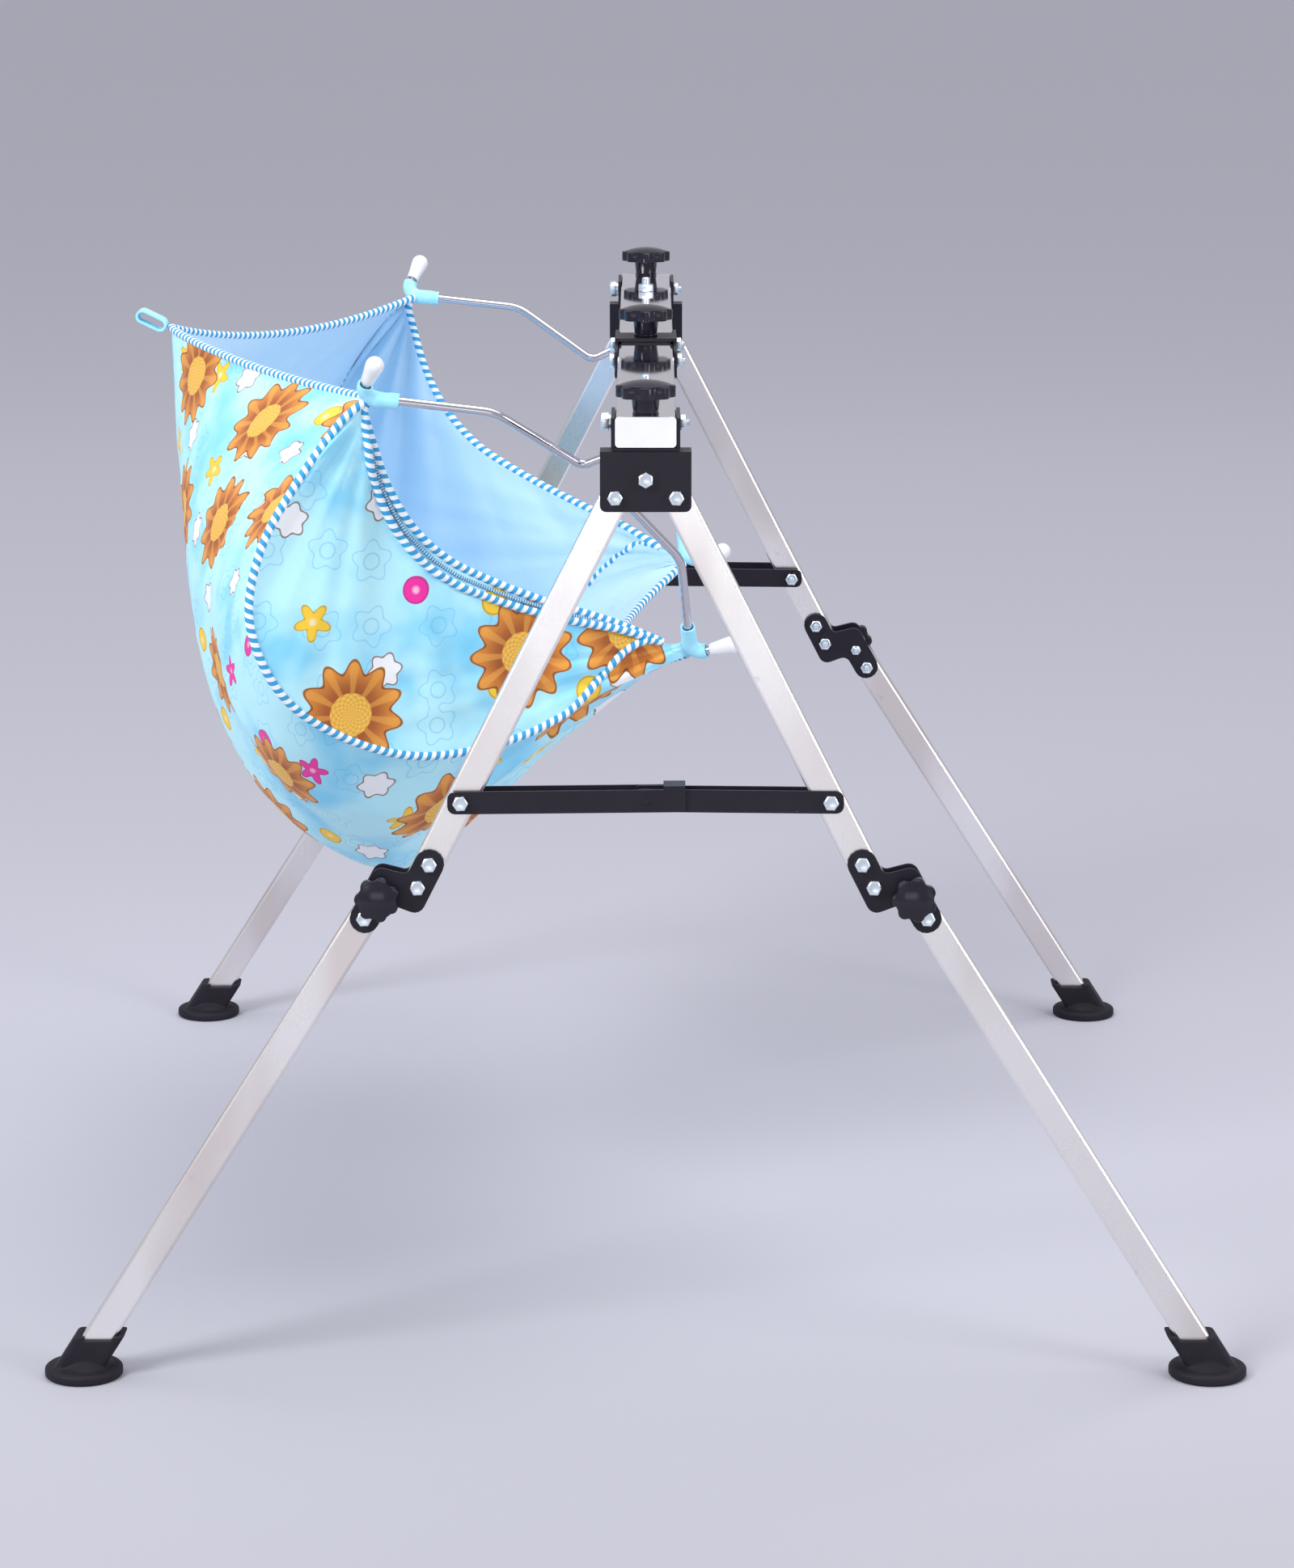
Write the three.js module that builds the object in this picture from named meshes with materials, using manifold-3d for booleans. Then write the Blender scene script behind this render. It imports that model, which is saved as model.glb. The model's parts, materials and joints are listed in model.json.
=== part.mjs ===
// Hanging baby cradle on a folding stand
// A two-piece bar rests on two folding A-frames; a fabric cradle swings under it on two bent wire hangers.
// Millimetres. +X right, +Y along the bar away from the near end, +Z up, origin on the floor under the bar.

import * as THREE from 'three';
import { mergeVertices } from 'three/addons/utils/BufferGeometryUtils.js';
import Module from 'manifold-3d';

const wasm = await Module();
wasm.setup();

// Driving sizes: the stand
const fitGap = 0.3;
const overrun = 2;
const roundSides = 8;
const frameLean = THREE.MathUtils.degToRad(4.1);

const bar = { width: 50.8, height: 25.4, wall: 1.5, corner: 3, topHeight: 821, length: 1050 };
const endCap = { flange: 2, insert: 4, wall: 2.5 };
const sheet = 3;
const bolt = { radius: 3, headRadius: 6.6, headHeight: 5.3, nutHeight: 5, tip: 3 };
const stud = { radius: 4, beyondWeb: 6 };
const wideHead = { radius: 8.1, height: 7, spacerRadius: 5.5, spacerHeight: 2 };

const saddle = { length: 65, belowBarTop: 1, boltFromEnd: 44, boltAboveMiddle: 2 };
const jointBracket = { nearReach: 92, farReach: 68, strapNearReach: 39, strapFarReach: 6, belowBar: 2.2 };
const jointBolt = { nearReach: 72, farReach: 46, aboveBarBottom: 12.4 };
const jointBracketCorner = 6;
const middleKnobReach = 17;

const starKnob = { lobes: 8, rimRadius: 25, lobeDepth: 2.6, rimHeight: 8, domeHeight: 4.7, height: 29 };
starKnob.neckRadius = 12;
starKnob.waistRadius = 11;
const kneeKnob = { lobes: 7, rimRadius: 19, lobeDepth: 2.8, rimHeight: 10, domeHeight: 4, height: 23 };
kneeKnob.neckRadius = 9.5;
kneeKnob.waistRadius = 9;
const knobDome = { insetShare: 1.5, shoulderRadiusShare: 0.7, shoulderHeightShare: 0.75 };

const hanger = { fromBarEnd: 158, wireRadius: 3.5, ringHalfSpan: 9, ringCorner: 5, pinDrop: 24.2 };
hanger.collarHeight = 6;
hanger.ringTopDrop = 4;
hanger.ringEndReach = 1.7;
hanger.neckRadius = 5.2;
hanger.neckBelowRing = 0.5;
const hangerNut = { radius: 8.66, height: 7, tip: 7 };

// Driving sizes: the folding A-frames
const leg = { width: 25.4, depth: 19, wall: 1.2, corner: 2.5, spread: THREE.MathUtils.degToRad(26.9) };
const headBracket = { width: 76, height: 50, corner: 5, centreBoltDrop: 23.3 };
const legPivot = { fromMiddle: 25.5, drop: 38.3 };
const upperLeg = { abovePivot: 12, belowPivot: 380, braceBolt: 287 };
const kneeBolts = { upperAboveEnd: 34, lowerAboveEnd: 12 };
const kneePivot = { beyondEnd: 31.9, out: 28.2, bend: THREE.MathUtils.degToRad(5.4) };
const lowerLeg = { topGap: 1.9, endHeight: 18.1370, knobBolt: 22 };
lowerLeg.slotTurn = THREE.MathUtils.degToRad(75);
const kneePlate = { margin: 12.5, shoulderRadius: 6, wingRadius: 9, notchRadius: 8, wingRise: 1.5 };
const brace = { height: 19, endReach: 11, tabReach: 33.5, tabLength: 18.4, rivetRise: 1.546 };
brace.rivetRadius = 3.5;
brace.rivetHeight = 1.2;
brace.spacerRadius = 8;
const foot = { radius: 33.4, thickness: 10, bevel: 3, socketWall: 5, earHeight: 45, frontHeight: 35 };
foot.socketCorner = 4;
foot.padOutset = 3.466;

// Driving sizes: the cradle
const rod = { radius: 4, bend: 11, loopClearance: 0.4 };
const rodCap = { length: 28, mouthRadius: 6, ballRadius: 8.2, engaged: 21 };
const cradle = { reach: 446, drop: 441.4 };
const cloth = { thickness: 3, sleeveRadius: 7.6, sleeveLength: 26, sleeveFromBend: 4, foldDepth: 6 };
cloth.endBulge = 12;
cloth.nearRimSag = 6;
cloth.farRimSag = 22;
cloth.cornerFromBend = 12;
cloth.foldCount = 5;
const pullLoop = { length: 32, height: 13, width: 20, thickness: 2.4, rise: THREE.MathUtils.degToRad(-26) };

// Places that follow from the sizes
const barBottom = bar.topHeight - bar.height;
const saddleBottom = barBottom - fitGap - sheet;
const headTop = saddleBottom - fitGap;
const frameHalfDepth = leg.depth / 2 + fitGap + sheet;
const headOrigin = {
  y: -(bar.length / 2 - frameHalfDepth * Math.cos(frameLean)),
  z: headTop - frameHalfDepth * Math.sin(frameLean),
};
const pinHeight = barBottom - hanger.pinDrop;
const hangerReach = bar.length / 2 - hanger.fromBarEnd;
const upperKneeBoltAlong = upperLeg.belowPivot - kneeBolts.upperAboveEnd;
const lowerKneeBoltAlong = upperLeg.belowPivot - kneeBolts.lowerAboveEnd;
const kneeAlong = upperLeg.belowPivot + kneePivot.beyondEnd;
const lowerLegTop = kneePivot.beyondEnd - lowerLeg.topGap;
const kneeDrop = legPivot.drop + kneeAlong * Math.cos(leg.spread) - kneePivot.out * Math.sin(leg.spread);
const frameDrop = (headOrigin.z - lowerLeg.endHeight) / Math.cos(frameLean);
const lowerLegLength = (frameDrop - kneeDrop) / Math.cos(leg.spread + kneePivot.bend);

const materials = {
  chrome: { color: 0xd6d9e2, roughness: 0.14, metalness: 1 },
  brushedSteel: { color: 0xc9c6cc, roughness: 0.34, metalness: 1 },
  blackCoat: { color: 0x1e1c26, roughness: 0.5, metalness: 0.25 },
  blackPlastic: { color: 0x1c1a24, roughness: 0.45, metalness: 0 },
  zinc: { color: 0xcfdbe6, roughness: 0.3, metalness: 1 },
  rubber: { color: 0x1a1922, roughness: 0.75, metalness: 0 },
  whitePlastic: { color: 0xeef0f4, roughness: 0.4, metalness: 0 },
  skyFabric: { color: 0x86c9f2, roughness: 0.85, metalness: 0 },
};

// Solid helpers

function toSolid(geometry) {
  geometry.deleteAttribute('normal');
  geometry.deleteAttribute('uv');
  const merged = mergeVertices(geometry);
  const vertProperties = new Float32Array(merged.attributes.position.array);
  const triVerts = new Uint32Array(merged.index.array);
  return new wasm.Manifold(new wasm.Mesh({ numProp: 3, vertProperties, triVerts }));
}

function toGeometry(solid) {
  const mesh = solid.getMesh();
  const geometry = new THREE.BufferGeometry();
  geometry.setAttribute('position', new THREE.BufferAttribute(mesh.vertProperties, 3));
  geometry.setIndex(new THREE.BufferAttribute(mesh.triVerts, 1));
  return geometry;
}

function join(...geometries) {
  return toGeometry(geometries.map(toSolid).reduce((all, next) => all.add(next)));
}

function cut(body, ...tools) {
  return toGeometry(tools.map(toSolid).reduce((all, next) => all.subtract(next), toSolid(body)));
}

function keep(body, region) {
  return toGeometry(toSolid(body).intersect(toSolid(region)));
}

function makePart(name, geometry, finish) {
  const shown = geometry.index ? geometry.toNonIndexed() : geometry;
  shown.deleteAttribute('normal');
  shown.computeVertexNormals();
  const part = new THREE.Mesh(shown, new THREE.MeshStandardMaterial(materials[finish]));
  part.name = name;
  return part;
}

// Outline of straight sides whose corners [x, y, radius] are rounded by arcs
function filletedShape(corners) {
  const shape = new THREE.Shape();
  corners.forEach(([x, y, radius], index) => {
    const corner = new THREE.Vector2(x, y);
    const [lastX, lastY] = corners.at(index - 1);
    const [nextX, nextY] = corners[(index + 1) % corners.length];
    const before = new THREE.Vector2(lastX, lastY).sub(corner).normalize();
    const after = new THREE.Vector2(nextX, nextY).sub(corner).normalize();
    const halfAngle = Math.acos(THREE.MathUtils.clamp(before.dot(after), -1, 1)) / 2;
    const reach = radius ? radius / Math.tan(halfAngle) : 0;
    const start = corner.clone().addScaledVector(before, reach);
    if (index === 0) shape.moveTo(start.x, start.y);
    else shape.lineTo(start.x, start.y);
    if (!radius) return;
    const end = corner.clone().addScaledVector(after, reach);
    const inward = before.clone().add(after).normalize();
    const centre = corner.clone().addScaledVector(inward, radius / Math.sin(halfAngle));
    const startAngle = start.clone().sub(centre).angle();
    const endAngle = end.clone().sub(centre).angle();
    const clockwise = before.cross(after) > 0;
    shape.absarc(centre.x, centre.y, radius, startAngle, endAngle, clockwise);
  });
  shape.closePath();
  return shape;
}

function rectangleCorners(width, height, radius) {
  const x = width / 2;
  const y = height / 2;
  return [[-x, -y, radius], [x, -y, radius], [x, y, radius], [-x, y, radius]];
}

function extrude(shape, depth, arcSteps = 2) {
  const geometry = new THREE.ExtrudeGeometry(shape, { depth, bevelEnabled: false, curveSegments: arcSteps });
  geometry.translate(0, 0, -depth / 2);
  return geometry;
}

// Plate whose outline lies in the X-Z plane, centred on its thickness along Y
function facePlate(shape, thickness, arcSteps = 3) {
  const geometry = extrude(shape, thickness, arcSteps);
  geometry.rotateX(Math.PI / 2);
  return geometry;
}

function block(width, depth, height, x = 0, y = 0, z = 0) {
  const geometry = new THREE.BoxGeometry(width, depth, height);
  geometry.translate(x, y, z);
  return geometry;
}

// Radius of a hole whose flat sides clear a round of the given radius by the fitting gap
function holeFor(radius) {
  return (radius + fitGap) / Math.cos(Math.PI / roundSides);
}

function rodAlong(axis, radius, from, to, sides = roundSides) {
  const geometry = new THREE.CylinderGeometry(radius, radius, to - from, sides);
  geometry.translate(0, (from + to) / 2, 0);
  if (axis === 'x') geometry.rotateZ(-Math.PI / 2);
  if (axis === 'z') geometry.rotateX(Math.PI / 2);
  return geometry;
}

function moved(geometry, x, y, z) {
  geometry.translate(x, y, z);
  return geometry;
}

function hexPrism(axis, radius, from, to) {
  return rodAlong(axis, radius, from, to, 6);
}

function rectangleTube(width, height, corner, wall, length) {
  const shape = filletedShape(rectangleCorners(width, height, corner));
  const inner = rectangleCorners(width - 2 * wall, height - 2 * wall, 0);
  shape.holes.push(new THREE.Path(filletedShape(inner).getPoints(1)));
  return extrude(shape, length, 1);
}

// Bolt along Y or X through a grip centred on 0: head on the negative side, nut and tip on the positive side
function throughBolt(axis, grip, headGap = 0) {
  const face = grip / 2;
  const headFace = face + headGap;
  const nutFace = face + fitGap;
  return join(
    hexPrism(axis, bolt.headRadius, -headFace - bolt.headHeight, -headFace),
    rodAlong(axis, bolt.radius, -headFace - bolt.headHeight / 2, nutFace + bolt.nutHeight + bolt.tip),
    hexPrism(axis, bolt.headRadius, nutFace, nutFace + bolt.nutHeight),
  );
}

// Star knob standing on Z = 0 with its stud going down
function starKnobShape(size, studRadius, studLength) {
  const rimSteps = size.lobes * 4;
  const outline = new THREE.Shape();
  for (let step = 0; step < rimSteps; step += 1) {
    const turn = (step / rimSteps) * 2 * Math.PI;
    const radius = size.rimRadius - size.lobeDepth * (1 - Math.cos(size.lobes * turn)) / 2;
    const x = radius * Math.cos(turn);
    const y = radius * Math.sin(turn);
    if (step === 0) outline.moveTo(x, y);
    else outline.lineTo(x, y);
  }
  outline.closePath();
  const rimBottom = size.height - size.domeHeight - size.rimHeight;
  const rim = extrude(outline, size.rimHeight);
  moved(rim, 0, 0, rimBottom + size.rimHeight / 2);
  const rimTop = rimBottom + size.rimHeight;
  const domeRadius = size.rimRadius - size.lobeDepth * knobDome.insetShare;
  const shoulderRadius = domeRadius * knobDome.shoulderRadiusShare;
  const shoulderHeight = size.domeHeight * knobDome.shoulderHeightShare;
  const profile = [
    new THREE.Vector2(0, -studLength),
    new THREE.Vector2(studRadius, -studLength),
    new THREE.Vector2(studRadius, 0),
    new THREE.Vector2(size.neckRadius, 0),
    new THREE.Vector2(size.waistRadius, rimBottom + size.rimHeight / 4),
    new THREE.Vector2(size.waistRadius, rimTop - size.rimHeight / 4),
    new THREE.Vector2(domeRadius, rimTop - size.rimHeight / 4),
    new THREE.Vector2(domeRadius, rimTop),
    new THREE.Vector2(shoulderRadius, rimTop + shoulderHeight),
    new THREE.Vector2(0, size.height),
  ];
  const core = new THREE.LatheGeometry(profile, 2 * roundSides);
  core.rotateX(Math.PI / 2);
  return join(rim, core);
}

// Top bar

function barHalf(end) {
  const outerEnd = bar.length / 2 - endCap.flange - fitGap;
  const innerEnd = fitGap / 2;
  const length = outerEnd - innerEnd;
  const middle = end * (outerEnd + innerEnd) / 2;
  const tube = rectangleTube(bar.width, bar.height, bar.corner, bar.wall, length);
  tube.rotateX(Math.PI / 2);
  moved(tube, 0, middle, 0);
  const through = bar.width / 2 + overrun;
  const boltHole = holeFor(bolt.radius);
  const studHole = holeFor(stud.radius);
  const jointY = end < 0 ? -jointBolt.nearReach : jointBolt.farReach;
  const jointZ = jointBolt.aboveBarBottom - bar.height / 2;
  const saddleY = end * (bar.length / 2 - saddle.boltFromEnd);
  const holes = [
    moved(rodAlong('x', boltHole, -through, through), 0, jointY, jointZ),
    moved(rodAlong('x', boltHole, -through, through), 0, saddleY, saddle.boltAboveMiddle),
    moved(rodAlong('z', studHole, -through, through), 0, -end * headOrigin.y, 0),
    moved(rodAlong('z', studHole, -through, through), 0, end * hangerReach, 0),
  ];
  if (end < 0) holes.push(moved(rodAlong('z', studHole, -through, through), 0, -middleKnobReach, 0));
  return cut(tube, ...holes);
}

function barEndCap(end) {
  const flangeShape = filletedShape(rectangleCorners(bar.width, bar.height, bar.corner));
  const flange = extrude(flangeShape, endCap.flange, 2);
  const inset = 2 * (bar.wall + fitGap);
  const corner = bar.corner - bar.wall;
  const plugShape = filletedShape(rectangleCorners(bar.width - inset, bar.height - inset, corner));
  const wall = 2 * endCap.wall;
  const recess = rectangleCorners(bar.width - inset - wall, bar.height - inset - wall, 0);
  plugShape.holes.push(new THREE.Path(filletedShape(recess).getPoints(1)));
  const reach = endCap.insert + fitGap;
  const plug = extrude(plugShape, reach + endCap.flange / 2, 1);
  moved(plug, 0, 0, -(reach + endCap.flange / 2) / 2);
  const cap = join(flange, plug);
  cap.rotateX(-end * Math.PI / 2);
  return cap;
}

// U of sheet metal open at the top, its length along Y
function saddleShape() {
  const outerHalf = bar.width / 2 + fitGap + sheet;
  const innerHalf = outerHalf - sheet;
  const top = bar.height / 2 - saddle.belowBarTop;
  const bottom = -bar.height / 2 - fitGap - sheet;
  const profile = filletedShape([
    [-outerHalf, bottom, sheet], [outerHalf, bottom, sheet], [outerHalf, top, 0],
    [innerHalf, top, 0], [innerHalf, bottom + sheet, 0], [-innerHalf, bottom + sheet, 0],
    [-innerHalf, top, 0], [-outerHalf, top, 0],
  ]);
  const body = facePlate(profile, saddle.length, 1);
  const through = outerHalf + overrun;
  const boltHole = moved(
    rodAlong('x', holeFor(bolt.radius), -through, through),
    0, saddle.length / 2 - saddle.boltFromEnd, saddle.boltAboveMiddle,
  );
  const studY = saddle.length / 2 - frameHalfDepth * Math.cos(frameLean);
  const studHole = moved(rodAlong('z', holeFor(stud.radius), bottom - overrun, 0), 0, studY, 0);
  return cut(body, boltHole, studHole);
}

// Cross bolt of a saddle: a tall hex head on a spacer at the left, a nut at the right
function saddleBolt() {
  const face = bar.width / 2 + fitGap + sheet + fitGap;
  const headFace = face + wideHead.spacerHeight;
  const nutEnd = face + bolt.nutHeight;
  return join(
    hexPrism('x', wideHead.radius, -headFace - wideHead.height, -headFace),
    rodAlong('x', wideHead.spacerRadius, -headFace - wideHead.height / 2, -face),
    rodAlong('x', bolt.radius, -headFace - wideHead.height / 2, nutEnd + bolt.tip),
    hexPrism('x', bolt.headRadius, face, nutEnd),
  );
}

// Side plates along the bar joint, tied by a strap over the top of the bar
function barJointBracket() {
  const innerHalf = bar.width / 2 + fitGap;
  const outerHalf = innerHalf + sheet;
  const bottom = -bar.height / 2 - jointBracket.belowBar;
  const plateTop = bar.height / 2 - saddle.belowBarTop;
  const strapTop = bar.height / 2 + fitGap + sheet;
  const side = filletedShape([
    [-jointBracket.nearReach, bottom, jointBracketCorner],
    [jointBracket.farReach, bottom, jointBracketCorner],
    [jointBracket.farReach, plateTop, jointBracketCorner],
    [jointBracket.strapFarReach, plateTop, 0],
    [jointBracket.strapFarReach, strapTop, 0],
    [-jointBracket.strapNearReach, strapTop, 0],
    [-jointBracket.strapNearReach, plateTop, 0],
    [-jointBracket.nearReach, plateTop, jointBracketCorner],
  ]);
  const body = extrude(side, 2 * outerHalf, 1);
  body.rotateX(Math.PI / 2);
  body.rotateZ(Math.PI / 2);
  const length = jointBracket.nearReach + jointBracket.farReach + 2 * overrun;
  const middle = (jointBracket.farReach - jointBracket.nearReach) / 2;
  const hollowTop = bar.height / 2 + fitGap;
  const hollowBottom = bottom - overrun;
  const hollowMiddle = (hollowTop + hollowBottom) / 2;
  const hollow = block(2 * innerHalf, length, hollowTop - hollowBottom, 0, middle, hollowMiddle);
  const boltZ = jointBolt.aboveBarBottom - bar.height / 2;
  const through = outerHalf + overrun;
  const boltHoles = [-jointBolt.nearReach, jointBolt.farReach].map((y) =>
    moved(rodAlong('x', holeFor(bolt.radius), -through, through), 0, y, boltZ));
  const studHole = moved(rodAlong('z', holeFor(stud.radius), 0, strapTop + overrun), 0, -middleKnobReach, 0);
  return cut(body, hollow, ...boltHoles, studHole);
}

// Upright bolt through the bar whose lower end is a wire ring with a level bottom run, its two ends in a neck
function hangerBolt() {
  const span = hanger.ringHalfSpan;
  const collarTop = barBottom - fitGap;
  const ringTop = collarTop - hanger.ringTopDrop;
  const shoulder = ringTop - hanger.wireRadius;
  const neckBottom = ringTop - hanger.wireRadius - hanger.neckBelowRing;
  const ring = new BentWire([
    new THREE.Vector3(0, hanger.ringEndReach, ringTop),
    new THREE.Vector3(0, span, shoulder),
    new THREE.Vector3(0, span, pinHeight),
    new THREE.Vector3(0, -span, pinHeight),
    new THREE.Vector3(0, -span, shoulder),
    new THREE.Vector3(0, -hanger.ringEndReach, ringTop),
  ], [0, hanger.ringCorner / 2, hanger.ringCorner, hanger.ringCorner, hanger.ringCorner / 2, 0], 2);
  const nutBottom = bar.topHeight + fitGap;
  const nutTop = nutBottom + hangerNut.height;
  return join(
    hexPrism('z', hangerNut.radius, collarTop - hanger.collarHeight, collarTop),
    hexPrism('z', hangerNut.radius, nutBottom, nutTop),
    rodAlong('z', stud.radius, collarTop - hanger.collarHeight / 2, nutTop + hangerNut.tip),
    rodAlong('z', hanger.neckRadius, neckBottom, collarTop - hanger.collarHeight / 2),
    wire(ring, hanger.wireRadius, roundSides),
  );
}

// Wire bending

// Path of straight runs with rounded corners, sampled only where it bends
class BentWire extends THREE.Curve {
  constructor(corners, bends, bendSteps) {
    super();
    this.rings = [];
    corners.forEach((corner, index) => {
      const last = corners[index - 1];
      const next = corners[index + 1];
      const bend = bends[index];
      if (!last || !next || !bend) {
        this.rings.push(corner.clone());
        return;
      }
      const before = last.clone().sub(corner).normalize();
      const after = next.clone().sub(corner).normalize();
      const halfAngle = before.angleTo(after) / 2;
      const reach = bend / Math.tan(halfAngle);
      const middle = before.clone().add(after).normalize();
      const centre = corner.clone().addScaledVector(middle, bend / Math.sin(halfAngle));
      const start = corner.clone().addScaledVector(before, reach).sub(centre);
      const end = corner.clone().addScaledVector(after, reach).sub(centre);
      const turn = start.angleTo(end);
      const axis = start.clone().cross(end).normalize();
      for (let step = 0; step <= bendSteps; step += 1) {
        const spoke = start.clone().applyAxisAngle(axis, (turn * step) / bendSteps);
        this.rings.push(centre.clone().add(spoke));
      }
    });
  }

  get steps() {
    return this.rings.length - 1;
  }

  getPoint(t) {
    return this.rings[Math.round(t * this.steps)].clone();
  }

  getPointAt(t) {
    return this.getPoint(t);
  }

  getTangent(t) {
    const index = Math.round(t * this.steps);
    const here = this.rings[index];
    const before = this.rings[index - 1] ?? here;
    const after = this.rings[index + 1] ?? here;
    const incoming = here.clone().sub(before).normalize();
    const outgoing = after.clone().sub(here).normalize();
    return incoming.add(outgoing).normalize();
  }

  getTangentAt(t) {
    return this.getTangent(t);
  }
}

function wire(path, radius, sides) {
  const section = new THREE.Shape();
  for (let side = 0; side < sides; side += 1) {
    const turn = ((side + 0.5) / sides) * 2 * Math.PI;
    const x = radius * Math.cos(turn);
    const y = radius * Math.sin(turn);
    if (side === 0) section.moveTo(x, y);
    else section.lineTo(x, y);
  }
  section.closePath();
  return new THREE.ExtrudeGeometry(section, { steps: path.steps, extrudePath: path });
}

// Folding A-frames, drawn in the frame's own plane: X across, -Z down the frame, -Y outward

function headBracketShape() {
  const outer = frameHalfDepth;
  const inner = frameHalfDepth - sheet;
  const rise = Math.tan(frameLean);
  const bottom = -headBracket.height;
  const profile = filletedShape([
    [-outer, bottom, 0], [-outer, 0, 0], [outer, 2 * outer * rise, 0], [outer, bottom, 0],
    [inner, bottom, 0], [inner, (outer + inner) * rise - sheet, 0], [-inner, sheet * rise - sheet, 0],
    [-inner, bottom, 0],
  ]);
  const channel = extrude(profile, headBracket.width, 1);
  channel.rotateX(Math.PI / 2);
  channel.rotateZ(Math.PI / 2);
  const half = headBracket.width / 2;
  const top = 2 * outer * rise + overrun;
  const face = filletedShape([
    [-half, bottom, headBracket.corner], [half, bottom, headBracket.corner], [half, top, 0], [-half, top, 0],
  ]);
  const trimmed = keep(channel, facePlate(face, 2 * outer + 2 * overrun, 2));
  const through = outer + overrun;
  const pivotHoles = [-1, 1].map((side) => {
    const hole = rodAlong('y', holeFor(bolt.radius), -through, through);
    return moved(hole, side * legPivot.fromMiddle, 0, -legPivot.drop);
  });
  const studHole = rodAlong('z', holeFor(stud.radius + fitGap), -2 * sheet, top);
  const holed = cut(trimmed, ...pivotHoles, studHole);
  const centreBolt = moved(throughBolt('y', 2 * outer), 0, 0, -headBracket.centreBoltDrop);
  const nutFace = moved(
    hexPrism('y', bolt.headRadius, outer - sheet / 2, outer + bolt.nutHeight / 2),
    0, 0, -headBracket.centreBoltDrop,
  );
  return join(holed, centreBolt, nutFace);
}

function upperLegShape() {
  const length = upperLeg.abovePivot + upperLeg.belowPivot;
  const tube = rectangleTube(leg.width, leg.depth, leg.corner, leg.wall, length);
  moved(tube, 0, 0, upperLeg.abovePivot - length / 2);
  const through = leg.depth / 2 + overrun;
  const holes = [0, upperLeg.braceBolt, upperKneeBoltAlong, lowerKneeBoltAlong].map((along) =>
    moved(rodAlong('y', holeFor(bolt.radius), -through, through), 0, 0, -along));
  return cut(tube, ...holes);
}

// Lower tube: a round hole at its pivot, and a curved slot that lets the tube swing off the locking bolt
function lowerLegShape(side) {
  const length = lowerLegTop + lowerLegLength;
  const tube = rectangleTube(leg.width, leg.depth, leg.corner, leg.wall, length);
  moved(tube, 0, 0, lowerLegTop - length / 2);
  const through = leg.depth / 2 + overrun;
  const holeRadius = bolt.radius + 2 * fitGap;
  const slot = new THREE.Shape();
  const startTurn = Math.PI / 2;
  const endTurn = startTurn - side * lowerLeg.slotTurn;
  const innerRadius = lowerLeg.knobBolt - holeRadius;
  const outerRadius = lowerLeg.knobBolt + holeRadius;
  const endCentre = lowerLeg.knobBolt;
  slot.absarc(0, 0, outerRadius, startTurn, endTurn, side > 0);
  slot.absarc(0, 0, innerRadius, endTurn, startTurn, side < 0);
  slot.absarc(0, endCentre, holeRadius, -Math.PI / 2, Math.PI / 2, side > 0);
  const slotTool = facePlate(slot, 2 * through, 3);
  const pivotHole = rodAlong('y', holeFor(bolt.radius), -through, through);
  return cut(tube, slotTool, pivotHole);
}

// Z-shaped plate that carries both knee bolts, the locking bolt and the lower pivot
function kneePlateOutline(side) {
  const margin = kneePlate.margin;
  const lockAlong = kneeAlong - lowerLeg.knobBolt * Math.cos(kneePivot.bend);
  const shoulder = lowerKneeBoltAlong - kneePlate.shoulderRadius;
  const bottom = kneeAlong + margin;
  const wing = kneePivot.out + margin;
  const corners = [
    [upperKneeBoltAlong - margin, -margin, margin - fitGap],
    [upperKneeBoltAlong - margin, margin, margin - fitGap],
    [shoulder, margin, kneePlate.shoulderRadius],
    [lowerKneeBoltAlong, wing - kneePlate.wingRise, kneePlate.wingRadius],
    [bottom, wing, margin - fitGap],
    [bottom, kneePivot.out - margin, margin - fitGap],
    [lockAlong + kneePlate.wingRise, kneePivot.out - margin - kneePlate.wingRise, kneePlate.notchRadius],
    [lockAlong - kneePlate.wingRise, -margin, kneePlate.wingRadius],
  ];
  return filletedShape(corners.map(([along, out, radius]) => [side * out, -along, radius]));
}

function lockPlace(side) {
  const along = kneeAlong - lowerLeg.knobBolt * Math.cos(kneePivot.bend);
  const out = kneePivot.out - lowerLeg.knobBolt * Math.sin(kneePivot.bend);
  return { x: side * out, z: -along };
}

function kneeBoltPlaces(side) {
  return [
    { x: 0, z: -upperKneeBoltAlong },
    { x: 0, z: -lowerKneeBoltAlong },
    { x: side * kneePivot.out, z: -kneeAlong },
  ];
}

function kneeOuterPlate(side) {
  const plateY = -(frameHalfDepth - sheet / 2);
  const plate = moved(facePlate(kneePlateOutline(side), sheet, 2), 0, plateY, 0);
  const lock = lockPlace(side);
  const through = frameHalfDepth + overrun;
  const lockHole = moved(rodAlong('y', holeFor(bolt.radius), -through, 0), lock.x, 0, lock.z);
  const bolts = kneeBoltPlaces(side).map(({ x, z }) => moved(throughBolt('y', 2 * frameHalfDepth), x, 0, z));
  return join(cut(plate, lockHole), ...bolts);
}

function kneeInnerPlate(side) {
  const plateY = frameHalfDepth - sheet / 2;
  const plate = moved(facePlate(kneePlateOutline(side), sheet, 2), 0, plateY, 0);
  const lock = lockPlace(side);
  const through = frameHalfDepth + overrun;
  const holes = [...kneeBoltPlaces(side), lock].map(({ x, z }) =>
    moved(rodAlong('y', holeFor(bolt.radius), 0, through), x, 0, z));
  return cut(plate, ...holes);
}

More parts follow.
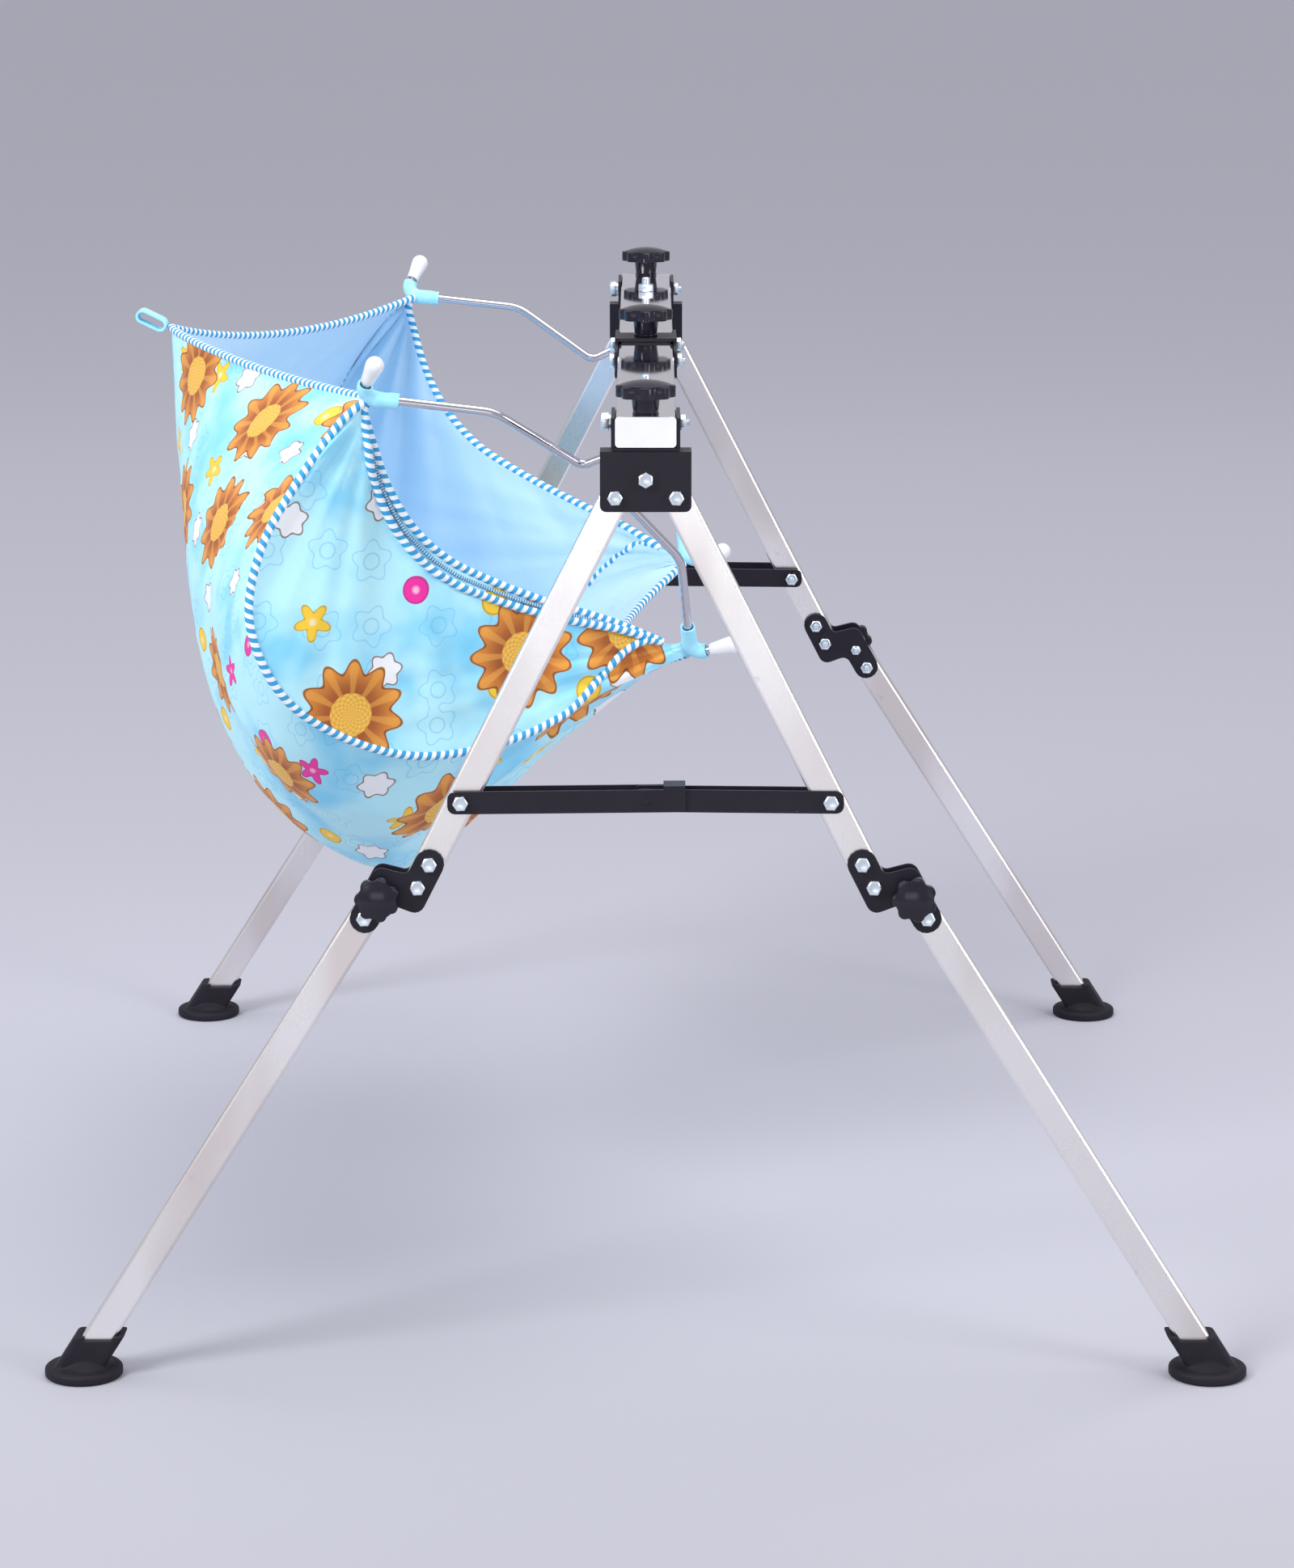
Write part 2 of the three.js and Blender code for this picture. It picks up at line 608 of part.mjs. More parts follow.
function kneeKnobShape() {
  const studLength = 2 * frameHalfDepth + fitGap + bolt.nutHeight + bolt.tip;
  const knob = starKnobShape(kneeKnob, bolt.radius, studLength);
  knob.rotateX(Math.PI / 2);
  moved(knob, 0, -frameHalfDepth - fitGap, 0);
  const nutFace = frameHalfDepth + fitGap;
  return join(knob, hexPrism('y', bolt.headRadius, nutFace, nutFace + bolt.nutHeight));
}

// Where the brace bolt of a leg and the middle rivet lie in the frame's plane
function bracePlaces() {
  const x = legPivot.fromMiddle + upperLeg.braceBolt * Math.sin(leg.spread);
  const z = -legPivot.drop - upperLeg.braceBolt * Math.cos(leg.spread);
  return { x, z, length: Math.hypot(x, brace.rivetRise), tilt: Math.atan2(brace.rivetRise, x) };
}

function braceStrip(reach, cornerAtEnd) {
  const half = brace.height / 2;
  const corner = half - sheet;
  return facePlate(filletedShape([
    [-brace.endReach, -half, corner], [reach, -half, cornerAtEnd], [reach, half, cornerAtEnd],
    [-brace.endReach, half, corner],
  ]), sheet, 2);
}

// Left link: an outer pair of strips tied over the top by a tab, pinned to its leg with a spacer on each side
function braceLeftLink() {
  const { length } = bracePlaces();
  const stripY = frameHalfDepth + fitGap + sheet / 2;
  const outerFace = frameHalfDepth + fitGap + sheet;
  const strips = [-1, 1].map((face) => moved(braceStrip(length + brace.tabReach, 0), 0, face * stripY, 0));
  const tabMiddle = length + brace.tabReach - brace.tabLength / 2;
  const tab = block(brace.tabLength, 2 * outerFace, sheet, tabMiddle, 0, brace.height / 2 + sheet / 2);
  const tabEdges = [-1, 1].map((face) =>
    block(brace.tabLength, sheet, sheet, tabMiddle, face * stripY, brace.height / 2));
  const spacerFace = leg.depth / 2 + fitGap;
  const spacers = [
    rodAlong('y', brace.spacerRadius, -stripY, -spacerFace),
    rodAlong('y', brace.spacerRadius, spacerFace, stripY),
  ];
  const rivets = [
    moved(rodAlong('y', brace.rivetRadius, -outerFace - brace.rivetHeight, -stripY), length, 0, 0),
    moved(rodAlong('y', brace.rivetRadius, stripY, outerFace + brace.rivetHeight), length, 0, 0),
  ];
  const legBolt = throughBolt('y', 2 * outerFace - 2 * fitGap);
  return join(...strips, tab, ...tabEdges, ...spacers, ...rivets, legBolt);
}

// Right link: an inner pair of strips against the leg; the front one carries the leg bolt
function braceRightStrip(face) {
  const { length } = bracePlaces();
  const stripY = face * (frameHalfDepth - sheet / 2);
  const strip = moved(braceStrip(length + brace.endReach, brace.height / 2 - sheet), 0, stripY, 0);
  const through = frameHalfDepth + overrun;
  const middleHole = moved(rodAlong('y', holeFor(brace.rivetRadius), -through, through), length, 0, 0);
  if (face < 0) return join(cut(strip, middleHole), throughBolt('y', 2 * frameHalfDepth));
  return cut(strip, middleHole, rodAlong('y', holeFor(bolt.radius), -through, through));
}

// Rubber foot in the floor's own frame: a round pad with a slanted socket for the tube
function footShape(legPlace, padPlace) {
  const pad = new THREE.LatheGeometry([
    new THREE.Vector2(0, 0),
    new THREE.Vector2(foot.radius - foot.bevel / 3, 0),
    new THREE.Vector2(foot.radius, foot.bevel / 3),
    new THREE.Vector2(foot.radius, foot.thickness - foot.bevel),
    new THREE.Vector2(foot.radius - foot.bevel, foot.thickness - foot.bevel / 3),
    new THREE.Vector2(0, foot.thickness),
  ], 2 * roundSides);
  pad.rotateX(Math.PI / 2);
  moved(pad, padPlace.x, padPlace.y, 0);
  const margin = 2 * (foot.socketWall + fitGap);
  const socketCorners = rectangleCorners(leg.width + margin, leg.depth + margin, foot.socketCorner);
  const socketLength = 2 * foot.earHeight;
  const socket = extrude(filletedShape(socketCorners), socketLength, 1);
  moved(socket, 0, 0, -lowerLegLength + foot.thickness);
  socket.applyMatrix4(legPlace);
  const reach = 4 * foot.radius;
  const room = block(reach, reach, foot.earHeight, padPlace.x, padPlace.y, foot.earHeight / 2);
  const boreCorners = rectangleCorners(leg.width + 2 * fitGap, leg.depth + 2 * fitGap, leg.corner);
  const boreLength = foot.earHeight * 3;
  const bore = extrude(filletedShape(boreCorners), boreLength, 1);
  moved(bore, 0, 0, boreLength / 2 - lowerLegLength - fitGap);
  bore.applyMatrix4(legPlace);
  const notchDepth = leg.depth / 2 + foot.socketWall + overrun;
  const notch = block(leg.width - 2 * leg.corner, notchDepth, boreLength, 0, -notchDepth / 2, 0);
  notch.applyMatrix4(legPlace.clone().multiply(new THREE.Matrix4().makeTranslation(0, 0, -lowerLegLength)));
  const notchRoomMiddle = boreLength / 2 + foot.frontHeight;
  const notchRoom = block(reach, reach, boreLength, padPlace.x, padPlace.y, notchRoomMiddle);
  const body = join(pad, keep(socket, room));
  return cut(body, bore, keep(notch, notchRoom));
}

// One A-frame. The group leans outward; side +1 is the frame's own right-hand leg.
function buildFrame(end, stand) {
  const turned = new THREE.Group();
  turned.rotation.z = end < 0 ? 0 : Math.PI;
  stand.add(turned);
  const plane = new THREE.Group();
  plane.position.set(0, headOrigin.y, headOrigin.z);
  plane.rotation.x = -frameLean;
  turned.add(plane);
  const endName = end < 0 ? 'near' : 'far';
  plane.add(makePart(`${endName}_head_bracket`, headBracketShape(), 'blackCoat'));
  [-1, 1].forEach((side) => {
    const worldSide = side * (end < 0 ? 1 : -1) < 0 ? 'left' : 'right';
    const name = `${endName}_${worldSide}`;
    const upper = new THREE.Group();
    upper.position.set(side * legPivot.fromMiddle, 0, -legPivot.drop);
    upper.rotation.y = -side * leg.spread;
    plane.add(upper);
    upper.add(makePart(`${name}_leg_pivot_bolt`, throughBolt('y', 2 * frameHalfDepth, fitGap), 'zinc'));
    upper.add(makePart(`${name}_upper_leg`, upperLegShape(), 'brushedSteel'));
    upper.add(makePart(`${name}_knee_outer_plate`, kneeOuterPlate(side), 'blackCoat'));
    upper.add(makePart(`${name}_knee_inner_plate`, kneeInnerPlate(side), 'blackCoat'));
    const knob = makePart(`${name}_knee_knob`, kneeKnobShape(), 'blackPlastic');
    const lock = lockPlace(side);
    knob.position.set(lock.x, 0, lock.z);
    upper.add(knob);
    const lower = new THREE.Group();
    lower.position.set(side * kneePivot.out, 0, -kneeAlong);
    lower.rotation.y = -side * kneePivot.bend;
    upper.add(lower);
    lower.add(makePart(`${name}_lower_leg`, lowerLegShape(side), 'brushedSteel'));
    const { x, z, tilt } = bracePlaces();
    const link = new THREE.Group();
    link.position.set(side * x, 0, z);
    link.rotation.y = side < 0 ? -tilt : tilt;
    plane.add(link);
    if (side < 0) {
      link.add(makePart(`${endName}_brace_double_link`, braceLeftLink(), 'blackCoat'));
    } else {
      ['outer', 'inner'].forEach((label, index) => {
        const strip = braceRightStrip(index ? 1 : -1);
        strip.scale(-1, 1, 1);
        const part = makePart(`${endName}_brace_${label}_strip`, mirroredFaces(strip), 'blackCoat');
        link.add(part);
      });
    }
    stand.updateMatrixWorld(true);
    const legEnd = new THREE.Vector3(0, 0, -lowerLegLength).applyMatrix4(lower.matrixWorld);
    const pad = { x: legEnd.x + Math.sign(legEnd.x) * foot.padOutset, y: legEnd.y };
    stand.add(makePart(`${name}_foot`, footShape(lower.matrixWorld, pad), 'rubber'));
  });
}

// A mirrored geometry with its faces turned back outward
function mirroredFaces(geometry) {
  const index = geometry.index.array;
  for (let face = 0; face < index.length; face += 3) {
    const first = index[face];
    index[face] = index[face + 1];
    index[face + 1] = first;
  }
  return geometry;
}

// Cradle: two bent wire hangers, four caps, the cloth and its pull loop

// Place at the near end: shares of the cradle's reach across, the hangers' spacing along, and its drop upward
function hangerCorner([acrossShare, alongShare, upShare]) {
  return new THREE.Vector3(
    cradle.reach * acrossShare,
    hangerReach * alongShare,
    pinHeight + cradle.drop * upShare,
  );
}

// Corner points of a hanger wire: its tip, its hook, its elbow and the neck next to its loop
const leftWireShares = [
  [-0.51816, -1.07875, 0.17218],
  [-0.55135, -1.01962, 0.10195],
  [-0.29126, -1.02507, 0.07227],
  [-0.12377, -0.95313, -0.04191],
];
const rightWireShares = [
  [0.17511, -0.66567, -0.44676],
  [0.09036, -0.63706, -0.47100],
  [0.06951, -0.81008, -0.24966],
  [-0.05628, -0.91281, -0.10217],
];

function wireCorners(shares) {
  const [tip, hook, elbow, neck] = shares.map(hangerCorner);
  return { tip, hook, elbow, neck };
}

const hangerLeft = wireCorners(leftWireShares);
const hangerRight = wireCorners(rightWireShares);
const hangerTilt = THREE.MathUtils.degToRad(38.4);

function atEnd(point, end) {
  return new THREE.Vector3(point.x, -end * point.y, point.z);
}

function hangerPath(end) {
  const loop = rod.radius + hanger.wireRadius + rod.loopClearance;
  const down = new THREE.Vector3(-Math.sin(hangerTilt), 0, -Math.cos(hangerTilt));
  const across = new THREE.Vector3(Math.cos(hangerTilt), 0, -Math.sin(hangerTilt));
  const pin = new THREE.Vector3(0, end * hangerReach, pinHeight);
  const place = (side, drop) => pin.clone().addScaledVector(across, side * loop).addScaledVector(down, drop);
  const arm = ({ tip, hook, elbow, neck }) => [tip, hook, elbow, neck].map((point) => atEnd(point, end));
  const left = arm(hangerLeft);
  const right = arm(hangerRight).reverse();
  const top = [place(-1, rod.radius), place(-1, -loop), place(1, -loop), place(1, rod.radius)];
  const armBends = [rod.bend, rod.bend, rod.bend];
  const bends = [0, ...armBends, rod.radius, loop, loop, rod.radius, ...armBends, 0];
  return new BentWire([...left, ...top, ...right], bends, 3);
}

function hangerRod(end, radius = rod.radius) {
  return wire(hangerPath(end), radius, roundSides);
}

// White cap pushed over a wire tip: a tapering sleeve with a round end
function rodCapShape(tip, hook) {
  const bore = holeFor(rod.radius);
  const mouth = rodCap.mouthRadius;
  const shoulder = rodCap.length - rodCap.ballRadius;
  const profile = [
    new THREE.Vector2(0, rodCap.engaged + fitGap),
    new THREE.Vector2(bore, rodCap.engaged + fitGap),
    new THREE.Vector2(bore, 0),
    new THREE.Vector2(mouth, 0),
    new THREE.Vector2(rodCap.ballRadius, shoulder),
  ];
  const roundSteps = 2;
  for (let step = 1; step <= roundSteps; step += 1) {
    const turn = (step / roundSteps) * (Math.PI / 2);
    const radius = step === roundSteps ? 0 : rodCap.ballRadius * Math.cos(turn);
    profile.push(new THREE.Vector2(radius, shoulder + rodCap.ballRadius * Math.sin(turn)));
  }
  const cap = new THREE.LatheGeometry(profile, roundSides);
  const direction = tip.clone().sub(hook).normalize();
  const start = tip.clone().addScaledVector(direction, -rodCap.engaged);
  const turn = new THREE.Quaternion().setFromUnitVectors(new THREE.Vector3(0, 1, 0), direction);
  return { cap, start, turn };
}

// Sections of the cloth, from the left rim round under the cradle to the right rim, and the upper edge of an
// end panel: shares of the cradle's reach across and of its drop upward from the hangers' pins
const endSectionShares = [
  [-0.5516, 0.1010], [-0.6547, -0.0326], [-0.7399, -0.1844], [-0.7578, -0.3430], [-0.6726, -0.5061],
  [-0.4753, -0.6149], [-0.2691, -0.6081], [-0.0897, -0.5061], [0.0897, -0.4721],
];
const middleSectionShares = [
  [-1.0000, 0.1328], [-0.9888, -0.1278], [-0.9529, -0.3883], [-0.8789, -0.6715], [-0.7287, -0.8981],
  [-0.5269, -1.0000], [-0.3139, -0.8301], [-0.1009, -0.6488], [0.1345, -0.5129],
];
const endRimShares = [
  [-0.5516, 0.1010], [-0.5291, 0.0127], [-0.5022, -0.0757], [-0.4552, -0.1618], [-0.3857, -0.2343],
  [-0.2915, -0.2909], [-0.1794, -0.3430], [-0.0493, -0.3974], [0.0897, -0.4721],
];

function sectionPoint([acrossShare, upShare]) {
  return new THREE.Vector2(cradle.reach * acrossShare, pinHeight + cradle.drop * upShare);
}

function sectionCurve(shares) {
  return new THREE.SplineCurve(shares.map(sectionPoint));
}

const endCurve = sectionCurve(endSectionShares);
const middleCurve = sectionCurve(middleSectionShares);
const rimCurve = sectionCurve(endRimShares);

function clothCorner(wirePoints, end) {
  const direction = wirePoints.elbow.clone().sub(wirePoints.hook).normalize();
  const corner = wirePoints.hook.clone().addScaledVector(direction, cloth.cornerFromBend);
  return atEnd(corner, end);
}

// Distance of an end panel from the cradle's middle at a given X: the panel runs askew between its corners
function endPanelReach(x) {
  const left = hangerLeft.hook;
  const right = hangerRight.hook;
  const share = (x - left.x) / (right.x - left.x);
  return -THREE.MathUtils.lerp(left.y, right.y, share);
}

const clothGrid = { around: 20, along: 12, endRows: 3, blendPower: 2.5, rimBlendPower: 1.15, rimShare: 0.3 };

function pinCorner(point, around, end) {
  const pull = Math.max(0, 1 - Math.min(around, 1 - around) * clothGrid.around);
  if (!pull) return point;
  const corner = clothCorner(around < 0.5 ? hangerLeft : hangerRight, end);
  return point.lerp(corner, pull);
}

function endEdgePoint(around, end) {
  const flat = endCurve.getPoint(around);
  const bulge = cloth.endBulge * Math.sin(Math.PI * around);
  const reach = endPanelReach(flat.x) + bulge;
  return pinCorner(new THREE.Vector3(flat.x, end * reach, flat.y), around, end);
}

function endRimPoint(around, end) {
  const flat = rimCurve.getPoint(around);
  return pinCorner(new THREE.Vector3(flat.x, end * endPanelReach(flat.x), flat.y), around, end);
}

// Point of the long panel: around 0..1 from the left to the right rim, along -1..1 from near to far.
// The left rim runs almost straight from the pull loop to its corners and sags; the cloth below is rounder.
function longPanelPoint(around, along) {
  const end = along < 0 ? -1 : 1;
  const share = Math.abs(along);
  const belowRim = THREE.MathUtils.smoothstep(around, 0, clothGrid.rimShare);
  const blend = share ** THREE.MathUtils.lerp(clothGrid.rimBlendPower, clothGrid.blendPower, belowRim);
  const sag = (end < 0 ? cloth.nearRimSag : cloth.farRimSag) * 4 * share * (1 - share) * (1 - belowRim);
  const edge = endEdgePoint(around, end);
  const flat = middleCurve.getPoint(around);
  const x = THREE.MathUtils.lerp(flat.x, edge.x, blend);
  const z = THREE.MathUtils.lerp(flat.y, edge.z, blend);
  const y = edge.y * share;
  const wave = Math.cos(Math.PI * cloth.foldCount * along);
  const fade = 4 * share * (1 - share) * Math.sin(Math.PI * around) ** 2;
  const lift = cloth.foldDepth * wave * fade;
  const outX = Math.cos(Math.PI * (1 - around));
  const outZ = -Math.sin(Math.PI * around);
  return new THREE.Vector3(x + lift * outX, y, z - sag + lift * outZ);
}

// Point of an end panel: row 0 on its lower edge, row 1 on its rim, with two soft folds from the high corner
function endPanelPoint(around, row, end) {
  const low = endEdgePoint(around, end);
  const high = endRimPoint(around, end);
  const point = low.lerp(high, row);
  const swell = Math.sin(Math.PI * row) * Math.sin(Math.PI * around);
  const fold = Math.cos(4 * Math.PI * around) / 2;
  point.y += end * cloth.endBulge * swell * (1 + fold) / 2;
  return point;
}

// Closed solid of the cloth: an outer skin and a lining one thickness inside, joined along the rim
function clothBag() {
  const points = [];
  const keys = new Map();
  const faces = [];
  const vertex = (key, point) => {
    if (!keys.has(key)) {
      keys.set(key, points.length);
      points.push(point);
    }
    return keys.get(key);
  };
  const { around: columns, along: rows, endRows } = clothGrid;
  const longVertex = (i, j) => vertex(`long ${i} ${j}`, longPanelPoint(i / columns, (2 * j) / rows - 1));
  const endVertex = (i, k, end) => {
    if (k === 0 || i === 0 || i === columns) return longVertex(i, end < 0 ? 0 : rows);
    return vertex(`end ${end} ${i} ${k}`, endPanelPoint(i / columns, k / endRows, end));
  };
  const quad = (a, b, c, d) => {
    if (a !== b && b !== c && a !== c) faces.push([a, b, c]);
    if (a !== c && c !== d && a !== d) faces.push([a, c, d]);
  };
  for (let i = 0; i < columns; i += 1) {
    for (let j = 0; j < rows; j += 1) {
      quad(longVertex(i, j), longVertex(i + 1, j), longVertex(i + 1, j + 1), longVertex(i, j + 1));
    }
    for (let k = 0; k < endRows; k += 1) {
      const near = (column, row) => endVertex(column, row, -1);
      const far = (column, row) => endVertex(column, row, 1);
      quad(near(i, k + 1), near(i + 1, k + 1), near(i + 1, k), near(i, k));
      quad(far(i, k), far(i + 1, k), far(i + 1, k + 1), far(i, k + 1));
    }
  }
  return thicken(points, faces, cloth.thickness);
}

function thicken(points, faces, thickness) {
  const normals = points.map(() => new THREE.Vector3());
  const edges = new Map();
  faces.forEach(([a, b, c]) => {
    const sideB = points[b].clone().sub(points[a]);
    const sideC = points[c].clone().sub(points[a]);
    const normal = sideB.cross(sideC).normalize();
    [a, b, c].forEach((index) => normals[index].add(normal));
    [[a, b], [b, c], [c, a]].forEach(([from, to]) => {
      if (edges.has(`${to} ${from}`)) edges.delete(`${to} ${from}`);
      else edges.set(`${from} ${to}`, [from, to]);
    });
  });
  const outer = points.map((point) => point.toArray());
  const lining = points.map((point, index) =>
    point.clone().addScaledVector(normals[index].normalize(), -thickness).toArray());
  const count = points.length;
  const triangles = [];
  faces.forEach(([a, b, c]) => triangles.push(a, b, c, count + a, count + c, count + b));
  edges.forEach(([from, to]) => {
    triangles.push(to, from, count + from, to, count + from, count + to);
  });
  const geometry = new THREE.BufferGeometry();
  geometry.setAttribute('position', new THREE.Float32BufferAttribute([...outer, ...lining].flat(), 3));
  geometry.setIndex(triangles);
  return geometry;
}

function clothSleeve(wirePoints, end) {
  const hook = atEnd(wirePoints.hook, end);
  const elbow = atEnd(wirePoints.elbow, end);
  const direction = elbow.clone().sub(hook).normalize();
  const { sleeveRadius, sleeveLength } = cloth;
  const sleeve = new THREE.CylinderGeometry(sleeveRadius, sleeveRadius, sleeveLength, roundSides);
  const middle = hook.clone().addScaledVector(direction, cloth.sleeveFromBend + cloth.sleeveLength / 2);
  sleeve.applyQuaternion(new THREE.Quaternion().setFromUnitVectors(new THREE.Vector3(0, 1, 0), direction));
  return moved(sleeve, middle.x, middle.y, middle.z);
}

function clothShape() {
  const sleeves = [-1, 1].flatMap((end) => [clothSleeve(hangerLeft, end), clothSleeve(hangerRight, end)]);
  const channels = [-1, 1].map((end) => hangerRod(end, rod.radius + fitGap / Math.cos(Math.PI / roundSides)));
  return cut(join(clothBag(), ...sleeves), ...channels);
}

function pullLoopShape() {
  const half = pullLoop.height / 2;
  const reach = pullLoop.length / 2;
  const inset = pullLoop.thickness;
  const corner = half - inset / 2;
  const outer = filletedShape(rectangleCorners(2 * reach, 2 * half, corner));
  const hole = rectangleCorners(2 * (reach - inset), 2 * (half - inset), corner - inset);
  outer.holes.push(new THREE.Path(filletedShape(hole).getPoints(2)));
  return facePlate(outer, pullLoop.width, 2);
}

// Assembly

function buildStand() {
  const stand = new THREE.Group();
  const barMiddle = bar.topHeight - bar.height / 2;
  [-1, 1].forEach((end) => {
    const name = end < 0 ? 'near' : 'far';
    const half = makePart(`${name}_bar_half`, barHalf(end), 'chrome');
    half.position.z = barMiddle;
    const cap = makePart(`${name}_bar_end_cap`, barEndCap(end), 'whitePlastic');
    cap.position.set(0, end * (bar.length / 2 - endCap.flange / 2), barMiddle);
    const saddlePart = makePart(`${name}_saddle`, saddleShape(), 'blackCoat');
    saddlePart.position.set(0, end * (bar.length / 2 - saddle.length / 2), barMiddle);
    saddlePart.rotation.z = end < 0 ? Math.PI : 0;
    const saddleBoltPart = makePart(`${name}_saddle_bolt`, saddleBolt(), 'zinc');
    const saddleBoltY = end * (bar.length / 2 - saddle.boltFromEnd);
    saddleBoltPart.position.set(0, saddleBoltY, barMiddle + saddle.boltAboveMiddle);
    const studLength = bar.topHeight + fitGap - (headTop - sheet) + stud.beyondWeb;
    const knobShape = starKnobShape(starKnob, stud.radius, studLength);
    const knob = makePart(`${name}_bar_knob`, knobShape, 'blackPlastic');
    knob.position.set(0, -end * headOrigin.y, bar.topHeight + fitGap);
    const hangerPart = makePart(`${name}_hanger_bolt`, hangerBolt(), 'zinc');
    hangerPart.position.y = end * hangerReach;
    const jointY = end < 0 ? -jointBolt.nearReach : jointBolt.farReach;
    const jointGrip = bar.width + 2 * (fitGap + sheet);
    const jointBoltPart = makePart(`${name}_joint_bolt`, throughBolt('x', jointGrip, fitGap), 'zinc');
    jointBoltPart.position.set(0, jointY, barBottom + jointBolt.aboveBarBottom);
    stand.add(half, cap, saddlePart, saddleBoltPart, knob, hangerPart, jointBoltPart);
  });
  const bracket = makePart('bar_joint_bracket', barJointBracket(), 'blackCoat');
  bracket.position.z = barMiddle;
  const strapTop = bar.topHeight + fitGap + sheet;
  const middleStud = strapTop + fitGap - barBottom + stud.beyondWeb;
  const middleKnobShape = starKnobShape(starKnob, stud.radius, middleStud);
  const middleKnob = makePart('middle_bar_knob', middleKnobShape, 'blackPlastic');
  middleKnob.position.set(0, -middleKnobReach, strapTop + fitGap);
  stand.add(bracket, middleKnob);
  buildFrame(-1, stand);
  buildFrame(1, stand);
  return stand;
}

function buildCradle() {
  const cradle = new THREE.Group();
  [-1, 1].forEach((end) => {
    const name = end < 0 ? 'near' : 'far';
    cradle.add(makePart(`${name}_hanger_rod`, hangerRod(end), 'chrome'));
    [['left', hangerLeft], ['right', hangerRight]].forEach(([side, wirePoints]) => {
      const { cap, start, turn } = rodCapShape(atEnd(wirePoints.tip, end), atEnd(wirePoints.hook, end));
      const part = makePart(`${name}_${side}_rod_cap`, cap, 'whitePlastic');
      part.position.copy(start);
      part.quaternion.copy(turn);
      cradle.add(part);
    });
  });
  cradle.add(makePart('cradle_cloth', clothShape(), 'skyFabric'));
  const rimMiddle = sectionPoint(middleSectionShares[0]);
  const loop = makePart('pull_loop', pullLoopShape(), 'skyFabric');
  loop.rotation.y = -pullLoop.rise;
  const reach = pullLoop.length / 2;
  loop.position.set(
    rimMiddle.x - fitGap - reach * Math.cos(pullLoop.rise) - pullLoop.height / 4,
    0,
    rimMiddle.y - reach * Math.sin(pullLoop.rise),
  );
  cradle.add(loop);
  return cradle;
}

const model = new THREE.Group();
model.name = 'hanging_cradle';
model.add(buildStand(), buildCradle());
model.updateMatrixWorld(true);

export default model;
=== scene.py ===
import json
import math

import bpy
from mathutils import Matrix, Quaternion, Vector, noise

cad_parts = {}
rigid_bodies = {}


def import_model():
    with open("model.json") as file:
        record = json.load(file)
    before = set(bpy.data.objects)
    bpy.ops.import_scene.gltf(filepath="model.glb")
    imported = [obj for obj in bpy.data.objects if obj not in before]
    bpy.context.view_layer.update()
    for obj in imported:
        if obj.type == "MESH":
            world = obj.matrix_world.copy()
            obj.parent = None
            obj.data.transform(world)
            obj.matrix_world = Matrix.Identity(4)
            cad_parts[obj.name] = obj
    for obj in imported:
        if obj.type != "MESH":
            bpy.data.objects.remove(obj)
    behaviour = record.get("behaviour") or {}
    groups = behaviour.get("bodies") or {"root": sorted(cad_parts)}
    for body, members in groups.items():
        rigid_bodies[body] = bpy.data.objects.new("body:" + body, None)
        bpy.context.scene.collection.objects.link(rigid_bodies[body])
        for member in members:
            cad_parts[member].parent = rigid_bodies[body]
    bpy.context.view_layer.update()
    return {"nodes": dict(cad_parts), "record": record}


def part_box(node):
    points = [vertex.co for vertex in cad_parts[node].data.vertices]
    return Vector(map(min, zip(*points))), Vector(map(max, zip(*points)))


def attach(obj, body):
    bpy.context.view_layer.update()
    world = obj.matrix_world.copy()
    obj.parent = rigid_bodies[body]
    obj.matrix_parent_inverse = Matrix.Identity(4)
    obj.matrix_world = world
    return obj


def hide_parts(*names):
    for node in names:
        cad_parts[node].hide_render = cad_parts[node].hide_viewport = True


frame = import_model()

bl_info = {
    "name": "Hanging baby cradle",
    "version": (1, 0, 0),
    "blender": (4, 5, 0),
    "location": "View3D > Sidebar > Cradle",
    "description": "Builds the looks of a hanging baby cradle over its fixed frame",
    "category": "Object",
}

MM = 0.001

# The stage: place, size and power of each lamp, then the sky and the camera
FLOOR_RADIUS = 60
LAMPS = {
    "key": ((-2.6, -2.6, 2.9), (1.4, 1.4), 114),
    "fill": ((3.0, -2.2, 1.5), (1.2, 2.2), 52),
    "top": ((0.3, 0.2, 3.6), (2.4, 2.4), 62),
    "front": ((-0.4, -6.2, 1.2), (3.4, 1.6), 22),
}
LAMP_AIM = Vector((-0.05, 0, 0.5))
SKY_COLOUR = (0.80, 0.80, 0.86, 1)
SKY_STRENGTH = 0.62
EYE = (1.1 * MM, -4244.8 * MM, 1360.3 * MM)
EYE_DROP = math.radians(12.88)
FOCAL_PIXELS = 5600
IMAGE_HEIGHT = 1939
SENSOR = 36

FULL_TURN = 6.283

# Radians for each metre of cloth in the weave and in the zip's teeth
THREADS = 9000.0
TOOTH_TURN = 2500.0

ENDS = ((-1, "near"), (1, "far"))
SIDES = ("left", "right")

# Places that the frame's plane, legs and knees share, in metres
LEAN = math.radians(4.1)
SPREAD = math.radians(26.9)
BEND = math.radians(5.4)
HALF_DEPTH = 12.8 * MM
FIT_GAP = 0.3 * MM
SHEET = 3 * MM
BAR_LENGTH = 1050 * MM
BAR_TOP = 821 * MM
BAR_HEIGHT = 25.4 * MM
BAR_WIDTH = 50.8 * MM
BAR_BOTTOM = BAR_TOP - BAR_HEIGHT
HEAD_TOP = BAR_BOTTOM - SHEET - 2 * FIT_GAP
HEAD_Y = -(BAR_LENGTH / 2 - HALF_DEPTH * math.cos(LEAN))
HEAD_Z = HEAD_TOP - HALF_DEPTH * math.sin(LEAN)
LEG_PIVOT = (25.5 * MM, 38.3 * MM)
KNEE_PIVOT = (28.2 * MM, 411.9 * MM)
KNEE_BOLTS = (346 * MM, 368 * MM)
LOCK_REACH = 22 * MM
BRACE_BOLT = 287 * MM
